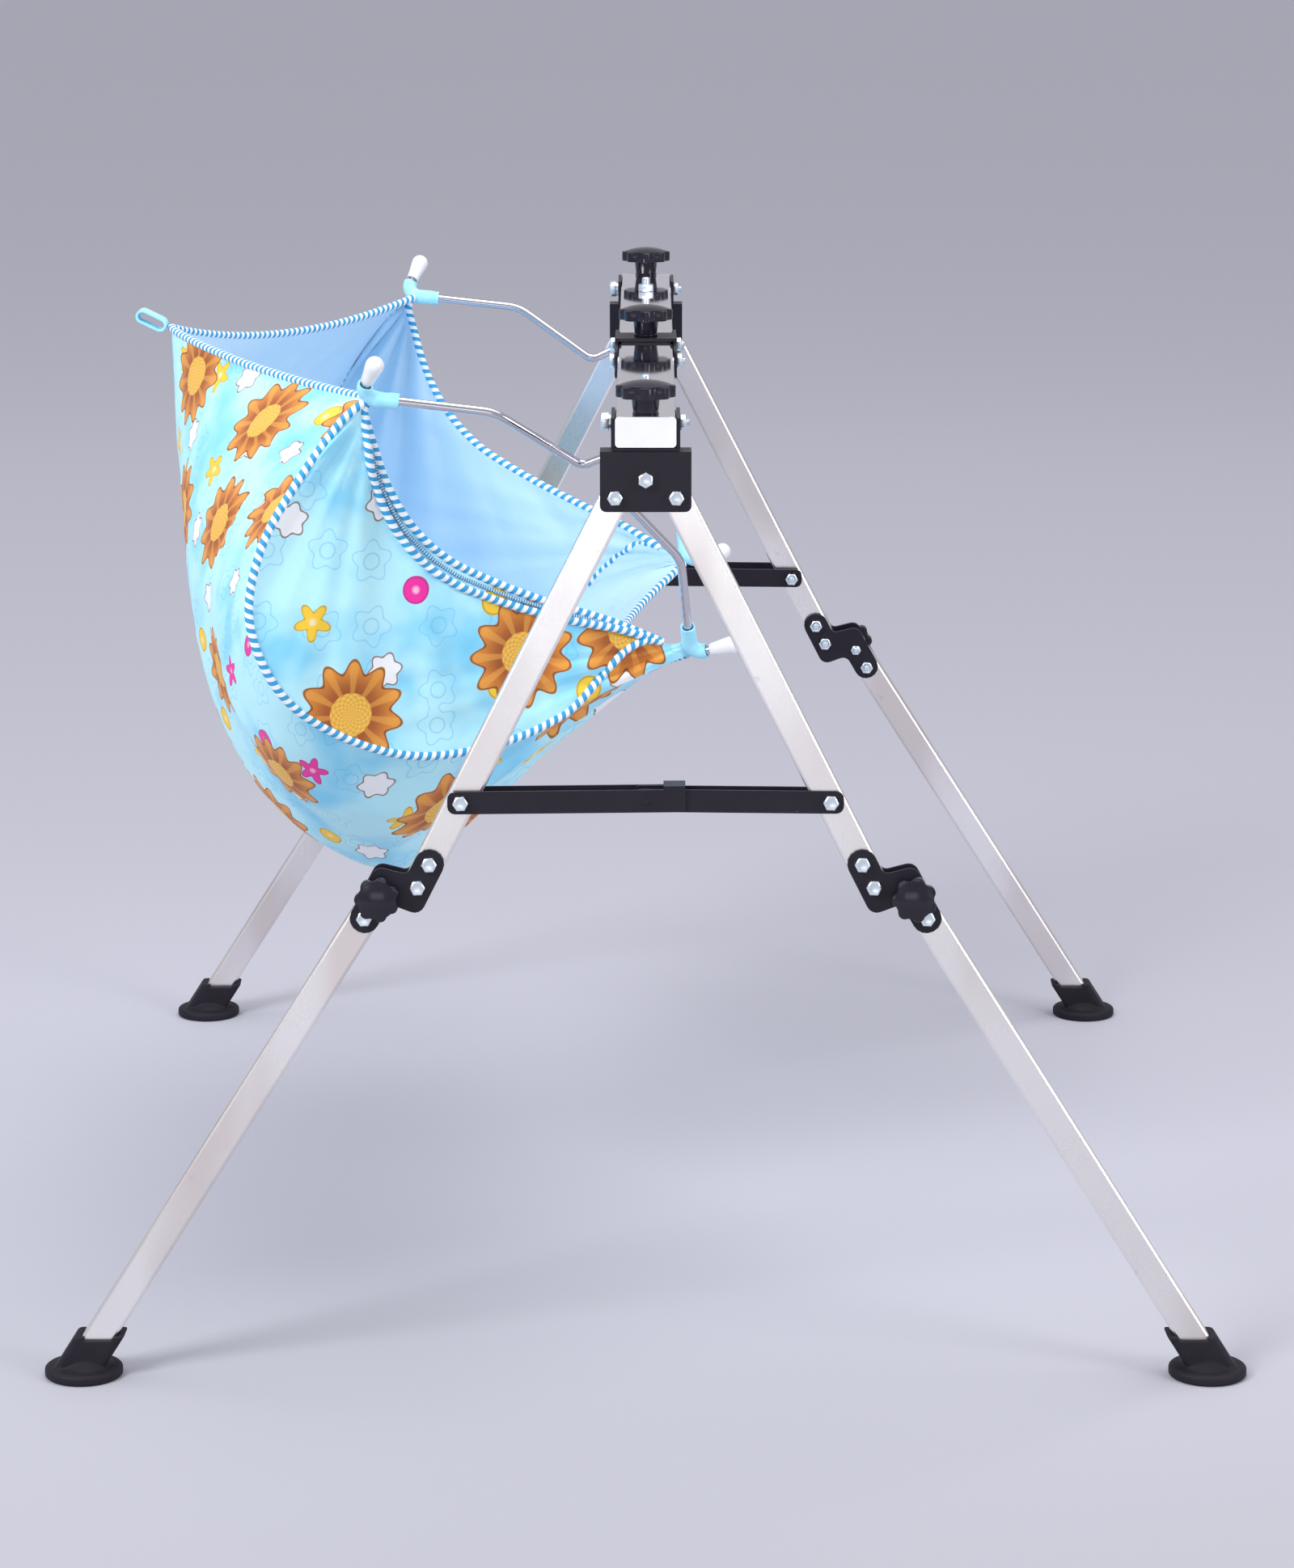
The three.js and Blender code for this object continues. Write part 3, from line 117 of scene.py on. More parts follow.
SHIN_LENGTH = 452 * MM
CENTRE_BOLT_DROP = 23.3 * MM
HANGER_Y = 367 * MM
PIN_HEIGHT = BAR_BOTTOM - 24.2 * MM

# Bolts, nuts and the ring bolts that carry the wires
HEX_RADIUS = 6.6 * MM
HEX_HEIGHT = 5.3 * MM
HEAD_CHAMFER = 1.3 * MM
NUT_HEIGHT = 5 * MM
NUT_CHAMFER = 1.1 * MM
WASHER_LIP = 0.4 * MM
TIP = 3 * MM
BOLT_RADIUS = 3 * MM
THREAD_PITCH = 0.9 * MM
ROD_RADIUS = 4 * MM
RING_WIRE = 3.5 * MM
LOOP_GAP = 0.4 * MM
HANGER_NUT = 8.66 * MM
SADDLE_INSET = 44 * MM
SADDLE_RISE = 2 * MM
JOINT_BOLTS = {"near": -72 * MM, "far": 46 * MM}
JOINT_RISE = 12.4 * MM

# How far a bolt's finer cover stands round a solid bolt that stays, and above its head and nut
COVER = 0.15 * MM
COVER_RISE = 0.9 * MM

# Star knobs, their studs and nuts. Each kind's radius is a setting. The points of the side and the dome are
# shares of the rim's radius and height, and of the dome's
BAR_KNOB = {"lobes": 8, "depth": 2.9 * MM, "height": 29 * MM, "rim_height": 9.8 * MM, "neck": 12 * MM}
KNEE_KNOB = {"lobes": 7, "depth": 2.8 * MM, "height": 23 * MM, "rim_height": 10 * MM, "neck": 9.5 * MM}
KNOB_CROWN = 4.2 * MM
KNOB_SIDE = ((0.93, 0.0), (0.982, 0.015), (1.0, 0.08), (1.0, 0.93), (0.982, 0.985), (0.95, 1.0), (0.80, 1.02))
KNOB_DOME = ((1.0, 0.1), (0.93, 0.2), (0.78, 0.46), (0.6, 0.69), (0.4, 0.86), (0.2, 0.96), (0.0, 1.0))
MIDDLE_KNOB_Y = -17 * MM
BAR_STUD = 38 * MM
LOCK_NUT = (5.6 * MM, 2 * MM)
LOCK_STUD = 5 * MM

# Rubber feet: place, blocks that make and cut the socket, and the grids that melt the parts into one
FOOT_X = 482 * MM
SOLE = 3 * MM
SOCKET = (36 * MM, 29.6 * MM, 90 * MM)
SOCKET_CORNER = 4 * MM
SOCKET_LOW = 6 * MM
SOCKET_TOP = 37.5 * MM
BORE = (26 * MM, 19.6 * MM, 120 * MM)
NOTCH = (20.6 * MM, 48 * MM, 120 * MM)
NOTCH_LOW = 34 * MM
COARSE_GRID = 1.1 * MM
FINE_GRID = 1.0 * MM


def plane_place(end):
    turn = Matrix.Rotation(0 if end < 0 else math.pi, 4, "Z")
    return turn @ Matrix.Translation((0, HEAD_Y, HEAD_Z)) @ Matrix.Rotation(-LEAN, 4, "X")


def leg_place(end, side):
    pivot = Matrix.Translation((side * LEG_PIVOT[0], 0, -LEG_PIVOT[1]))
    return plane_place(end) @ pivot @ Matrix.Rotation(-side * SPREAD, 4, "Y")


def shin_place(end, side):
    pivot = Matrix.Translation((side * KNEE_PIVOT[0], 0, -KNEE_PIVOT[1]))
    return leg_place(end, side) @ pivot @ Matrix.Rotation(-side * BEND, 4, "Y")


def leg_name(end, side):
    """Left and right in the name are the photograph's; side is counted from outside that end"""
    end_name = "near" if end < 0 else "far"
    return f"{end_name}_{SIDES[side == -end]}"


def legs():
    """Name, end and side of each leg"""
    return [(leg_name(end, side), end, side) for end in (-1, 1) for side in (-1, 1)]


# Shader arithmetic


def arithmetic(operation, swapped=False):
    """An operator for Wire that adds one maths node"""
    def apply(self, other):
        return self.shader.math(operation, *((other, self) if swapped else (self, other)))
    return apply


class Wire:
    """A shader socket that takes part in plain arithmetic"""

    def __init__(self, shader, socket):
        self.shader = shader
        self.socket = socket

    __add__ = arithmetic("ADD")
    __radd__ = arithmetic("ADD", swapped=True)
    __sub__ = arithmetic("SUBTRACT")
    __rsub__ = arithmetic("SUBTRACT", swapped=True)
    __mul__ = arithmetic("MULTIPLY")
    __rmul__ = arithmetic("MULTIPLY", swapped=True)
    __truediv__ = arithmetic("DIVIDE")
    __gt__ = arithmetic("GREATER_THAN")
    __lt__ = arithmetic("LESS_THAN")


class Shader:
    """One material and the nodes that it is made of"""

    MIX_COLOURS = (6, 7)
    MIX_RESULT = 2

    def __init__(self, name):
        self.material = bpy.data.materials.new(name)
        self.material.use_nodes = True
        self.tree = self.material.node_tree
        self.principled = self.tree.nodes["Principled BSDF"]

    def surface(self, **values):
        """Sets or links the surface's own inputs"""
        self.feed(self.principled, values)

    def node(self, kind, settings=None, **values):
        made = self.tree.nodes.new(kind)
        for name, value in (settings or {}).items():
            setattr(made, name, value)
        self.feed(made, values)
        return made

    def feed(self, made, values):
        for name, value in values.items():
            self.connect(value, made.inputs[name.replace("_", " ")])

    def connect(self, value, socket):
        """Links a wire or an output to a socket, or sets the socket's own value"""
        if isinstance(value, Wire):
            value = value.socket
        if hasattr(value, "is_output"):
            self.tree.links.new(value, socket)
        elif socket.type == "RGBA":
            socket.default_value = (*value, 1.0)
        else:
            socket.default_value = value

    def wire(self, made, output):
        return Wire(self, made.outputs[output])

    def operate(self, kind, operation, operands):
        made = self.node(kind, {"operation": operation})
        for operand, socket in zip(operands, made.inputs):
            self.connect(operand, socket)
        return made

    def math(self, operation, *operands):
        return self.wire(self.operate("ShaderNodeMath", operation, operands), "Value")

    def vector(self, operation, *operands):
        return self.operate("ShaderNodeVectorMath", operation, operands).outputs["Vector"]

    def split(self, value):
        made = self.node("ShaderNodeSeparateXYZ", Vector=value)
        return self.wire(made, "X"), self.wire(made, "Y")

    def distance(self, x, y):
        return self.math("SQRT", x * x + y * y)

    def place(self, scale=(1, 1, 1), uv=False):
        source = self.node("ShaderNodeTexCoord").outputs["UV" if uv else "Object"]
        return self.node("ShaderNodeMapping", Vector=source, Scale=scale).outputs["Vector"]

    def grain(self, place, scale, detail=3.0, rough=0.5):
        made = self.node("ShaderNodeTexNoise", Vector=place, Scale=scale, Detail=detail, Roughness=rough)
        return self.wire(made, "Fac")

    def blend(self, factor, *colours):
        made = self.node("ShaderNodeMix", {"data_type": "RGBA"}, Factor=factor)
        for colour, slot in zip(colours, self.MIX_COLOURS):
            self.connect(colour, made.inputs[slot])
        return made.outputs[self.MIX_RESULT]

    def smooth_step(self, value, low, high):
        made = self.node("ShaderNodeMapRange", {"interpolation_type": "SMOOTHSTEP"}, Value=value,
                         From_Min=low, From_Max=high)
        return self.wire(made, "Result")

    def colour(self, factor, *colours):
        self.surface(Base_Color=self.blend(factor, *colours))

    def rough(self, value):
        self.surface(Roughness=value)

    def relief(self, height, strength, distance, soft_edge=0.0):
        bump = self.node("ShaderNodeBump", Strength=strength, Distance=distance, Height=height)
        if soft_edge:
            edge = self.node("ShaderNodeBevel", {"samples": 4}, Radius=soft_edge)
            self.connect(edge.outputs["Normal"], bump.inputs["Normal"])
        self.surface(Normal=bump.outputs["Normal"])


# Finishes

FINISHES = {}


def polished_steel(shader):
    shader.surface(Metallic=1.0)
    fine = shader.grain(shader.place((400, 12, 400)), 1.0, 4.0)
    smudge = shader.grain(shader.place(), 14.0, 5.0, 0.6)
    shader.colour(smudge, (0.98, 0.95, 0.98), (0.90, 0.86, 0.93))
    shader.rough(0.015 + smudge * 0.05 + fine * 0.02)
    shader.relief(fine, 0.02, 0.0002, 0.0006)


def brushed_leg_steel(shader):
    shader.surface(Metallic=1.0)
    place = shader.place()
    lines = shader.grain(shader.place((700, 700, 10)), 1.0, 3.0)
    sweep = shader.grain(shader.place((9, 9, 3.2)), 1.0, 2.0, 0.4)
    cloud = shader.grain(place, 16.0, 5.0, 0.62)
    spot = shader.smooth_step(shader.grain(place, 70.0, 2.0), 0.68, 0.78)
    # Long streaks down the legs, painted darker and browner: painted reflection streaks, which are also
    # rougher
    painted_reflection_streak = shader.smooth_step(sweep, 0.44, 0.66)
    tone = shader.blend(cloud, (0.98, 0.965, 0.955), (0.88, 0.86, 0.85))
    # The painted reflection streaks, in a darker brown over the leg's tone
    tone = shader.blend(painted_reflection_streak * 0.75, tone, (0.68, 0.61, 0.59))
    shader.colour(spot * 0.25, tone, (0.50, 0.42, 0.37))
    shader.rough(0.17 + cloud * 0.12 + painted_reflection_streak * 0.1 + lines * 0.06)
    shader.relief(lines * 0.3 + sweep * 9.0, 0.12, 0.0012, 0.0008)


def hanger_wire_steel(shader):
    shader.surface(Metallic=1.0)
    cloud = shader.grain(shader.place(), 9.0, 2.0)
    shader.colour(cloud, (0.66, 0.66, 0.71), (0.54, 0.54, 0.60))
    shader.rough(0.11 + cloud * 0.06)


def black_powder_coat(shader):
    shader.surface(Specular_IOR_Level=0.26)
    place = shader.place()
    pebble = shader.grain(place, 900.0, 2.0)
    dust = shader.grain(place, 22.0, 5.0, 0.6)
    chip = shader.smooth_step(shader.grain(place, 120.0, 3.0), 0.735, 0.76)
    tone = shader.blend(dust, (0.006, 0.005, 0.010), (0.016, 0.014, 0.024))
    shader.colour(chip * 0.45, tone, (0.14, 0.13, 0.15))
    shader.rough(0.26 + dust * 0.2 + pebble * 0.05)
    shader.relief(pebble, 0.12, 0.0002, 0.0008)


def bright_zinc_plate(shader):
    shader.surface(Metallic=1.0)
    place = shader.place()
    patch = shader.grain(place, 160.0, 3.0)
    scratch = shader.grain(shader.place((500, 500, 80)), 1.0, 2.0)
    shader.colour(patch, (0.86, 0.92, 0.96), (0.66, 0.76, 0.84))
    shader.rough(0.18 + patch * 0.18 + scratch * 0.08)
    shader.relief(scratch, 0.08, 0.0002, 0.0004)


def moulded_black_plastic(shader):
    shader.surface(Specular_IOR_Level=0.42)
    place = shader.place()
    stipple = shader.grain(place, 700.0, 2.0)
    wear = shader.grain(place, 40.0, 4.0)
    shader.colour(wear, (0.006, 0.005, 0.011), (0.015, 0.013, 0.024))
    shader.rough(0.13 + wear * 0.12)
    shader.relief(stipple, 0.03, 0.0001)


def moulded_rubber(shader):
    shader.surface(Specular_IOR_Level=0.22)
    place = shader.place()
    pore = shader.grain(place, 520.0, 3.0)
    bloom = shader.grain(place, 26.0, 5.0, 0.6)
    shader.colour(bloom, (0.006, 0.005, 0.009), (0.020, 0.017, 0.026))
    shader.rough(0.5 + bloom * 0.22)
    shader.relief(pore, 0.14, 0.0003)


def glossy_white_plastic(shader):
    shader.surface(Coat_Weight=0.2)
    place = shader.place()
    flow = shader.grain(place, 60.0, 3.0)
    shader.colour(flow, (0.86, 0.87, 0.90), (0.78, 0.79, 0.83))
    shader.rough(0.2 + flow * 0.14)
    shader.relief(flow, 0.05, 0.0003)


def weave(shader):
    """Fine cross weave, as a height from 0 to 1, on the piece's own UV map in metres"""
    x, y = shader.split(shader.place(uv=True))
    across = shader.math("SINE", x * THREADS)
    along = shader.math("SINE", y * THREADS)
    return across * along * 0.5 + 0.5


def printed_cotton(shader, settings):
    """Sky blue cotton with a scattered print of sunflowers, clouds, stars, dots and rings"""
    shader.surface(Sheen_Weight=0.12)
    place = shader.place(uv=True)
    wash = shader.grain(place, 9.0, 3.0, 0.55)
    # Patches of deeper and paler blue over the ground: the deeper patches are painted shade of the cloth's
    # folds
    painted_shade_patches = shader.smooth_step(wash, 0.33, 0.58)
    ground = shader.blend(painted_shade_patches, settings.ground, settings.ground_pale)
    faint = ring_print(shader, place, 1 / settings.faint_cell)
    ground = shader.blend(faint * 0.4, ground, settings.ground_deep)
    ground = small_print(shader, place, ground, 1 / settings.small_cell)
    ground = flower_print(shader, place, ground, 1 / settings.flower_cell)
    shader.surface(Base_Color=ground)
    thread = weave(shader)
    shader.rough(0.72 + wash * 0.12)
    crease = shader.grain(place, 34.0, 4.0, 0.6)
    shader.relief(thread * 0.25 + crease * 1.2, 0.16, 0.0012)


def plain_cotton(shader, settings):
    """The print's ground colour without its motifs, for the sleeves and the pull loop"""
    shader.surface(Sheen_Weight=0.12)
    wash = shader.grain(shader.place(), 60.0, 3.0, 0.55)
    shader.colour(wash, settings.ground, settings.ground_pale)
    shader.rough(0.74 + wash * 0.1)
    crease = shader.grain(shader.place(), 130.0, 4.0, 0.6)
    shader.relief(crease, 0.3, 0.0012)


def cell_polar(shader, place, scale, seed):
    """Distance from the middle of a scattered cell, angle about it, and two random shares of the cell"""
    moved = shader.vector("MULTIPLY_ADD", place, (scale, scale, scale), (seed, seed * 0.7, 0))
    cells = shader.node("ShaderNodeTexVoronoi", {"voronoi_dimensions": "2D"}, Vector=moved, Scale=1.0,
                        Randomness=0.55)
    x, y = shader.split(shader.vector("SUBTRACT", moved, cells.outputs["Position"]))
    kind, other = shader.split(cells.outputs["Color"])
    distance = shader.distance(x, y)
    angle = shader.math("ARCTAN2", y, x) + other * FULL_TURN
    return distance, angle, kind, other


def inside(shader, edge, low, high):
    """1 where the edge's value is under low, 0 where it is over high"""
    return 1 - shader.smooth_step(edge, low, high)


def lobed(shader, distance, angle, radius, depth, lobes):
    """Distance outside a lobed outline, negative within it"""
    return distance - (radius + depth * shader.math("COSINE", angle * lobes))


def ring_print(shader, place, scale):
    """Faint scattered rings, each with a five-lobed line round it"""
    distance, angle, *_ = cell_polar(shader, place, scale, 3.0)
    line = shader.math("ABSOLUTE", lobed(shader, distance, angle, 0.27, 0.05, 5.0))
    inner = shader.math("ABSOLUTE", distance - 0.12)
    return inside(shader, shader.math("MINIMUM", line, inner), 0.006, 0.02)


def small_print(shader, place, ground, scale):
    """Stars, clouds and dots, each with a brown outline and a pale glint"""
    distance, angle, kind, other = cell_polar(shader, place, scale, 11.0)
    star = lobed(shader, distance, angle, 0.17, 0.055, 5.0)
    cloud = lobed(shader, distance, angle, 0.19, 0.025, 6.0)
    disc = distance - 0.155
    is_cloud = kind < 0.34
    is_disc = kind > 0.74
    plain = 1 - is_cloud - is_disc
    edge = cloud * is_cloud + disc * is_disc + star * plain
    shown = inside(shader, edge, -0.006, 0.006)
    rim = inside(shader, shader.math("ABSOLUTE", edge + 0.012), 0.006, 0.016)
    warm = shader.blend(other > 0.5, (0.95, 0.62, 0.04), (0.86, 0.02, 0.36))
    fill = shader.blend(is_cloud, warm, (0.90, 0.93, 0.96))
    fill = shader.blend(rim * (0.4 + is_cloud * 0.4), fill, (0.10, 0.035, 0.02))
    fill = shader.blend(inside(shader, distance, 0.02, 0.06) * 0.5, fill, (0.96, 0.94, 0.86))
    return shader.blend(shown, ground, fill)


def flower_print(shader, place, ground, scale):
    """Sunflowers with a seeded heart"""
    distance, angle, kind, _ = cell_polar(shader, place, scale, 23.0)
    petals = shader.math("COSINE", angle * 11.0)
    edge = distance - (0.295 + 0.04 * petals)
    within = inside(shader, edge, -0.005, 0.005)
    shown = kind > 0.06
    rim = inside(shader, shader.math("ABSOLUTE", edge + 0.01), 0.004, 0.012)
    depth = shader.smooth_step(distance, 0.13, 0.3)
    petal = shader.blend(depth, (0.36, 0.085, 0.012), (0.74, 0.27, 0.035))
    heart = inside(shader, distance, 0.125, 0.132)
    seeds = shader.math("SINE", distance * 190.0) * shader.math("SINE", angle * 14.0)
    middle = shader.blend(seeds * 0.3 + 0.4, (0.95, 0.60, 0.09), (0.60, 0.24, 0.03))
    fill = shader.blend(heart, petal, middle)
    leaf = shader.smooth_step(petals, 0.2, 0.75) * (1 - heart)
    fill = shader.blend(leaf * 0.4, fill, (0.93, 0.45, 0.08))
    fill = shader.blend(rim * 0.75, fill, (0.12, 0.04, 0.02))
    return shader.blend(within * shown, ground, fill)


def lining_cotton(shader, settings):
    shader.surface(Sheen_Weight=0.1)
    place = shader.place(uv=True)
    wash = shader.grain(place, 12.0, 4.0, 0.6)
    shader.colour(wash, settings.lining, settings.lining_pale)
    shader.rough(0.78 + wash * 0.12)
    crease = shader.grain(place, 26.0, 4.0, 0.6)
    shader.relief(weave(shader) * 0.3 + crease * 1.4, 0.2, 0.0014)


def striped_piping(shader, settings):
    """White and blue twisted stripes round a cord-filled edge"""
    x, y = shader.split(shader.place(uv=True))
    turns = x / settings.stripe_pitch + y
    wave = shader.math("SINE", turns * 2 * math.pi)
    stripe = shader.smooth_step(wave, -0.18, 0.18)
    shader.colour(stripe, settings.piping_blue, (0.88, 0.91, 0.94))
    grain = shader.grain(shader.place(), 900.0, 2.0)
    shader.rough(0.62 + grain * 0.16)
    shader.relief(stripe * 0.4 + grain * 0.6, 0.25, 0.0006)


def zip_teeth(shader):
    along, _ = shader.split(shader.place(uv=True))
    tooth = shader.smooth_step(shader.math("SINE", along * TOOTH_TURN), -0.4, 0.4)
    shader.colour(tooth, (0.05, 0.22, 0.42), (0.45, 0.68, 0.86))
    shader.rough(0.3 + tooth * 0.2)
    shader.relief(tooth, 0.6, 0.0008)


def pale_floor(shader):
    """Pale floor, lighter far off, where only the sky lights it, and less so under the front lamp"""
    place = shader.place()
    x, y = shader.split(place)
    lamp_x, lamp_y, _ = LAMPS["front"][0]
    away = shader.smooth_step(shader.distance(x, y), 0.9, 5.0)
    clear = shader.smooth_step(shader.distance(x - lamp_x, y - lamp_y), 1.2, 4.6)
    away = away * (clear * 0.8 + 0.2)
    cloud = shader.grain(place, 0.6, 2.0)
    near = shader.blend(cloud, (0.395, 0.395, 0.445), (0.42, 0.42, 0.47))
    # Painted lighter from in front of the stand to behind it, against the shade that the stand and the cradle
    # cast there
    near = shader.blend(shader.smooth_step(y, -1.3, 0.2), near, (0.52, 0.52, 0.595))
    shader.colour(away, near, (0.735, 0.735, 0.825))
    shader.rough(0.6 + cloud * 0.1)


def finish(make, *settings):
    """The material that this function makes, made once and named after it"""
    name = make.__name__
    if name not in FINISHES:
        shader = Shader(name)
        make(shader, *settings)
        FINISHES[name] = shader.material
    return FINISHES[name]


# Modelling helpers


def clear_selection():
    if bpy.context.object and bpy.context.object.mode != "OBJECT":
        bpy.ops.object.mode_set(mode="OBJECT")
    for thing in bpy.context.view_layer.objects:
        thing.select_set(False)


def choose(*pieces):
    clear_selection()
    for piece in pieces:
        piece.select_set(True)
    bpy.context.view_layer.objects.active = pieces[0]


def apply_modifier(piece, kind, **settings):
    choose(piece)
    modifier = piece.modifiers.new(kind.title(), kind)
    for name, value in settings.items():
        setattr(modifier, name, value)
    bpy.ops.object.modifier_apply(modifier=modifier.name)


def join_pieces(name, pieces):
    choose(*pieces)
    if len(pieces) > 1:
        bpy.ops.object.join()
    joined = bpy.context.object
    joined.name = name
    joined.data.name = name
    return joined


def settle(piece, place=None):
    """Moves a piece to its place and writes that place into its mesh"""
    if place is not None:
        piece.matrix_world = place @ piece.matrix_world
    choose(piece)
    bpy.ops.object.transform_apply(location=True, rotation=True, scale=True)
    return piece


def dress(piece, material, body, slot, *stands_for, smooth=35):
    piece.data.materials.clear()
    piece.data.materials.append(material)
    if smooth:
        choose(piece)
        bpy.ops.object.shade_smooth_by_angle(angle=math.radians(smooth))
    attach(piece, body)
    if stands_for:
        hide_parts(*stands_for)
    return piece


def revolve(name, profile, steps=48):
    """Closed turned form about Z from (radius, height) points"""
    chain = [(index, index + 1) for index in range(len(profile) - 1)]
    piece = mesh_piece(name, [(radius, 0, height) for radius, height in profile], [], edges=chain)
    apply_modifier(piece, "SCREW", steps=steps, render_steps=steps, use_merge_vertices=True,
                   merge_threshold=1e-6, use_smooth_shade=True)
    choose(piece)
    bpy.ops.object.mode_set(mode="EDIT")
    bpy.ops.mesh.select_all(action="SELECT")
    bpy.ops.mesh.remove_doubles(threshold=1e-6)
    bpy.ops.mesh.normals_make_consistent(inside=False)
    bpy.ops.object.mode_set(mode="OBJECT")
    return piece


def hexagon(name, radius, low, high, chamfer):
    """Hexagonal head or nut along Z between two heights, its far corners chamfered"""
    bpy.ops.mesh.primitive_cylinder_add(vertices=6, radius=radius, depth=high - low,
                                        location=(0, 0, (low + high) / 2), calc_uvs=False)
    piece = bpy.context.object
    piece.name = name
    settle(piece)
    bpy.ops.object.mode_set(mode="EDIT")
    bpy.ops.mesh.select_all(action="DESELECT")
    bpy.ops.object.mode_set(mode="OBJECT")
    for face in piece.data.polygons:
        face.select = face.normal.z > 0.9
    bpy.ops.object.mode_set(mode="EDIT")
    step = chamfer * 0.6
    bpy.ops.mesh.inset(thickness=chamfer, depth=0)
    bpy.ops.mesh.inset(thickness=step, depth=-chamfer * 0.3)
    bpy.ops.object.mode_set(mode="OBJECT")
    top = high - 1e-6
    for vertex in piece.data.vertices:
        if vertex.co.z > top and math.hypot(vertex.co.x, vertex.co.y) > radius * 0.97:
            vertex.co.z -= step
    apply_modifier(piece, "BEVEL", width=chamfer * 0.22, segments=2, limit_method="ANGLE")
    return piece


def hex_bolt(name, place, head, nut, body, *stands_for, radius=HEX_RADIUS, spacer=0.0, height=HEX_HEIGHT):
    """Bolt along the place's Y axis: its head ends at -head, its nut starts at +nut"""
    grown, rise = (0.0, 0.0) if stands_for else (COVER, COVER_RISE)
    top = head + spacer
    low, lip, washer = head - grown, top + WASHER_LIP, radius * 0.86
    parts = [hexagon(name, radius + grown, top - grown, top + height + rise, HEAD_CHAMFER)]
    parts.append(revolve(name + "_washer", [(0, low), (washer, low), (washer, lip), (0, lip)], 32))
    under = hexagon(name + "_nut", HEX_RADIUS + grown, nut - grown, nut + NUT_HEIGHT + rise, NUT_CHAMFER)
    under.matrix_world = Matrix.Rotation(math.pi, 4, "X")
    parts.append(under)
    start = -(nut + NUT_HEIGHT + TIP + grown)
    core = BOLT_RADIUS * 0.86
    threads = [(0, start), (BOLT_RADIUS * 0.8, start)]
    for number in range(int((TIP + 1 * MM) / THREAD_PITCH)):
        base = start + 0.3 * MM + number * THREAD_PITCH
        threads += [(BOLT_RADIUS + grown, base), (core, base + THREAD_PITCH / 2)]
    threads += [(core, -nut), (0, -nut)]
    parts.append(revolve(name + "_tip", threads, 20))
    if stands_for:
        inner = -nut - 1 * MM
        parts.append(revolve(name + "_shank", [
            (0, inner), (BOLT_RADIUS, inner), (BOLT_RADIUS, top), (0, top)], 20))
    for part in parts:
        settle(part)
    piece = settle(join_pieces(name, parts), place @ Matrix.Rotation(math.pi / 2, 4, "X"))
    return dress(piece, finish(bright_zinc_plate), body, "zinc_plate", *stands_for)


def unit_frames(points):
    """Direction and two cross directions at each point of a path, without needless twist"""
    frames = []
    side = None
    for index, point in enumerate(points):
        before = points[max(index - 1, 0)]
        after = points[min(index + 1, len(points) - 1)]
        direction = (after - before).normalized()
        if side is None:
            side = direction.orthogonal().normalized()
        side = (side - direction * side.dot(direction)).normalized()
        frames.append((point, side.copy(), direction.cross(side)))
    return frames


def skin(rings, sides, closed_ends=True):
    """Faces over rings of points, each ring with this many sides"""
    faces = []
    for first in range(0, (rings - 1) * sides, sides):
        for step in range(sides):
            other = (step + 1) % sides
            faces.append((first + step, first + other, first + sides + other, first + sides + step))
    if closed_ends:
        last = (rings - 1) * sides
        faces += [tuple(range(sides - 1, -1, -1)), tuple(range(last, last + sides))]
    return faces


def tube(name, points, radius, sides=12, closed_ends=True):
    """Round tube along points, its UV map in metres along and in turns around"""
    vertices = []
    marks = []
    lengths = [0.0]
    for first, second in zip(points, points[1:]):
        lengths.append(lengths[-1] + (second - first).length)
    for point, side, up in unit_frames(points):
        for step in range(sides):
            turn = 2 * math.pi * step / sides
            vertices.append(point + radius * (math.cos(turn) * side + math.sin(turn) * up))
    for low, high in zip(lengths, lengths[1:]):
        for step in range(sides):
            near, far = step / sides, (step + 1) / sides
            marks += [(low, near), (low, far), (high, far), (high, near)]
    if closed_ends:
        marks += [(0, 0)] * sides + [(lengths[-1], 0)] * sides
    return mesh_piece(name, vertices, skin(len(points), sides, closed_ends), marks)


def mesh_piece(name, vertices, faces, marks=None, edges=()):
    mesh = bpy.data.meshes.new(name)
    mesh.from_pydata([tuple(v) for v in vertices], edges, faces)
    if marks:
        layer = mesh.uv_layers.new(name="UVMap")
        for loop, mark in zip(layer.data, marks):
            loop.uv = mark
    mesh.update()
    piece = bpy.data.objects.new(name, mesh)
    bpy.context.scene.collection.objects.link(piece)
    return piece


def bent_path(corners, bends, steps=8):
    """Points along straight runs whose corners are rounded by the given radii"""
    points = []
    for index, corner in enumerate(corners):
        bend = bends[index]
        if not bend:
            points.append(corner.copy())
            continue
        before = (corners[index - 1] - corner).normalized()
        after = (corners[index + 1] - corner).normalized()
        half = before.angle(after) / 2
        reach = bend / math.tan(half)
        centre = corner + (before + after).normalized() * (bend / math.sin(half))
        start = corner + before * reach - centre
        end = corner + after * reach - centre
        turn = start.angle(end)
        axis = start.cross(end).normalized()
        for step in range(steps + 1):
            points.append(centre + Quaternion(axis, turn * step / steps) @ start)
    return points


# Hanger wire corners at the near end, in metres
HANGER = {
    "left": {
        "tip": Vector((-231.1, -395.9, 847.4)) * MM, "hook": Vector((-245.9, -374.2, 816.4)) * MM,
        "elbow": Vector((-129.9, -376.2, 803.3)) * MM, "neck": Vector((-55.2, -349.8, 752.9)) * MM,
    },
    "right": {
        "tip": Vector((78.1, -244.3, 574.2)) * MM, "hook": Vector((40.3, -233.8, 563.5)) * MM,
        "elbow": Vector((31, -297.3, 661.2)) * MM, "neck": Vector((-25.1, -335, 726.3)) * MM,
    },
}
HANGER_TILT = math.radians(38.4)


def at_end(point, end):
    return Vector((point.x, -end * point.y, point.z))


def wire_corners(side, end, *names):
    """These corners of one arm of a hanger's wire"""
    return [at_end(HANGER[side][name], end) for name in names]


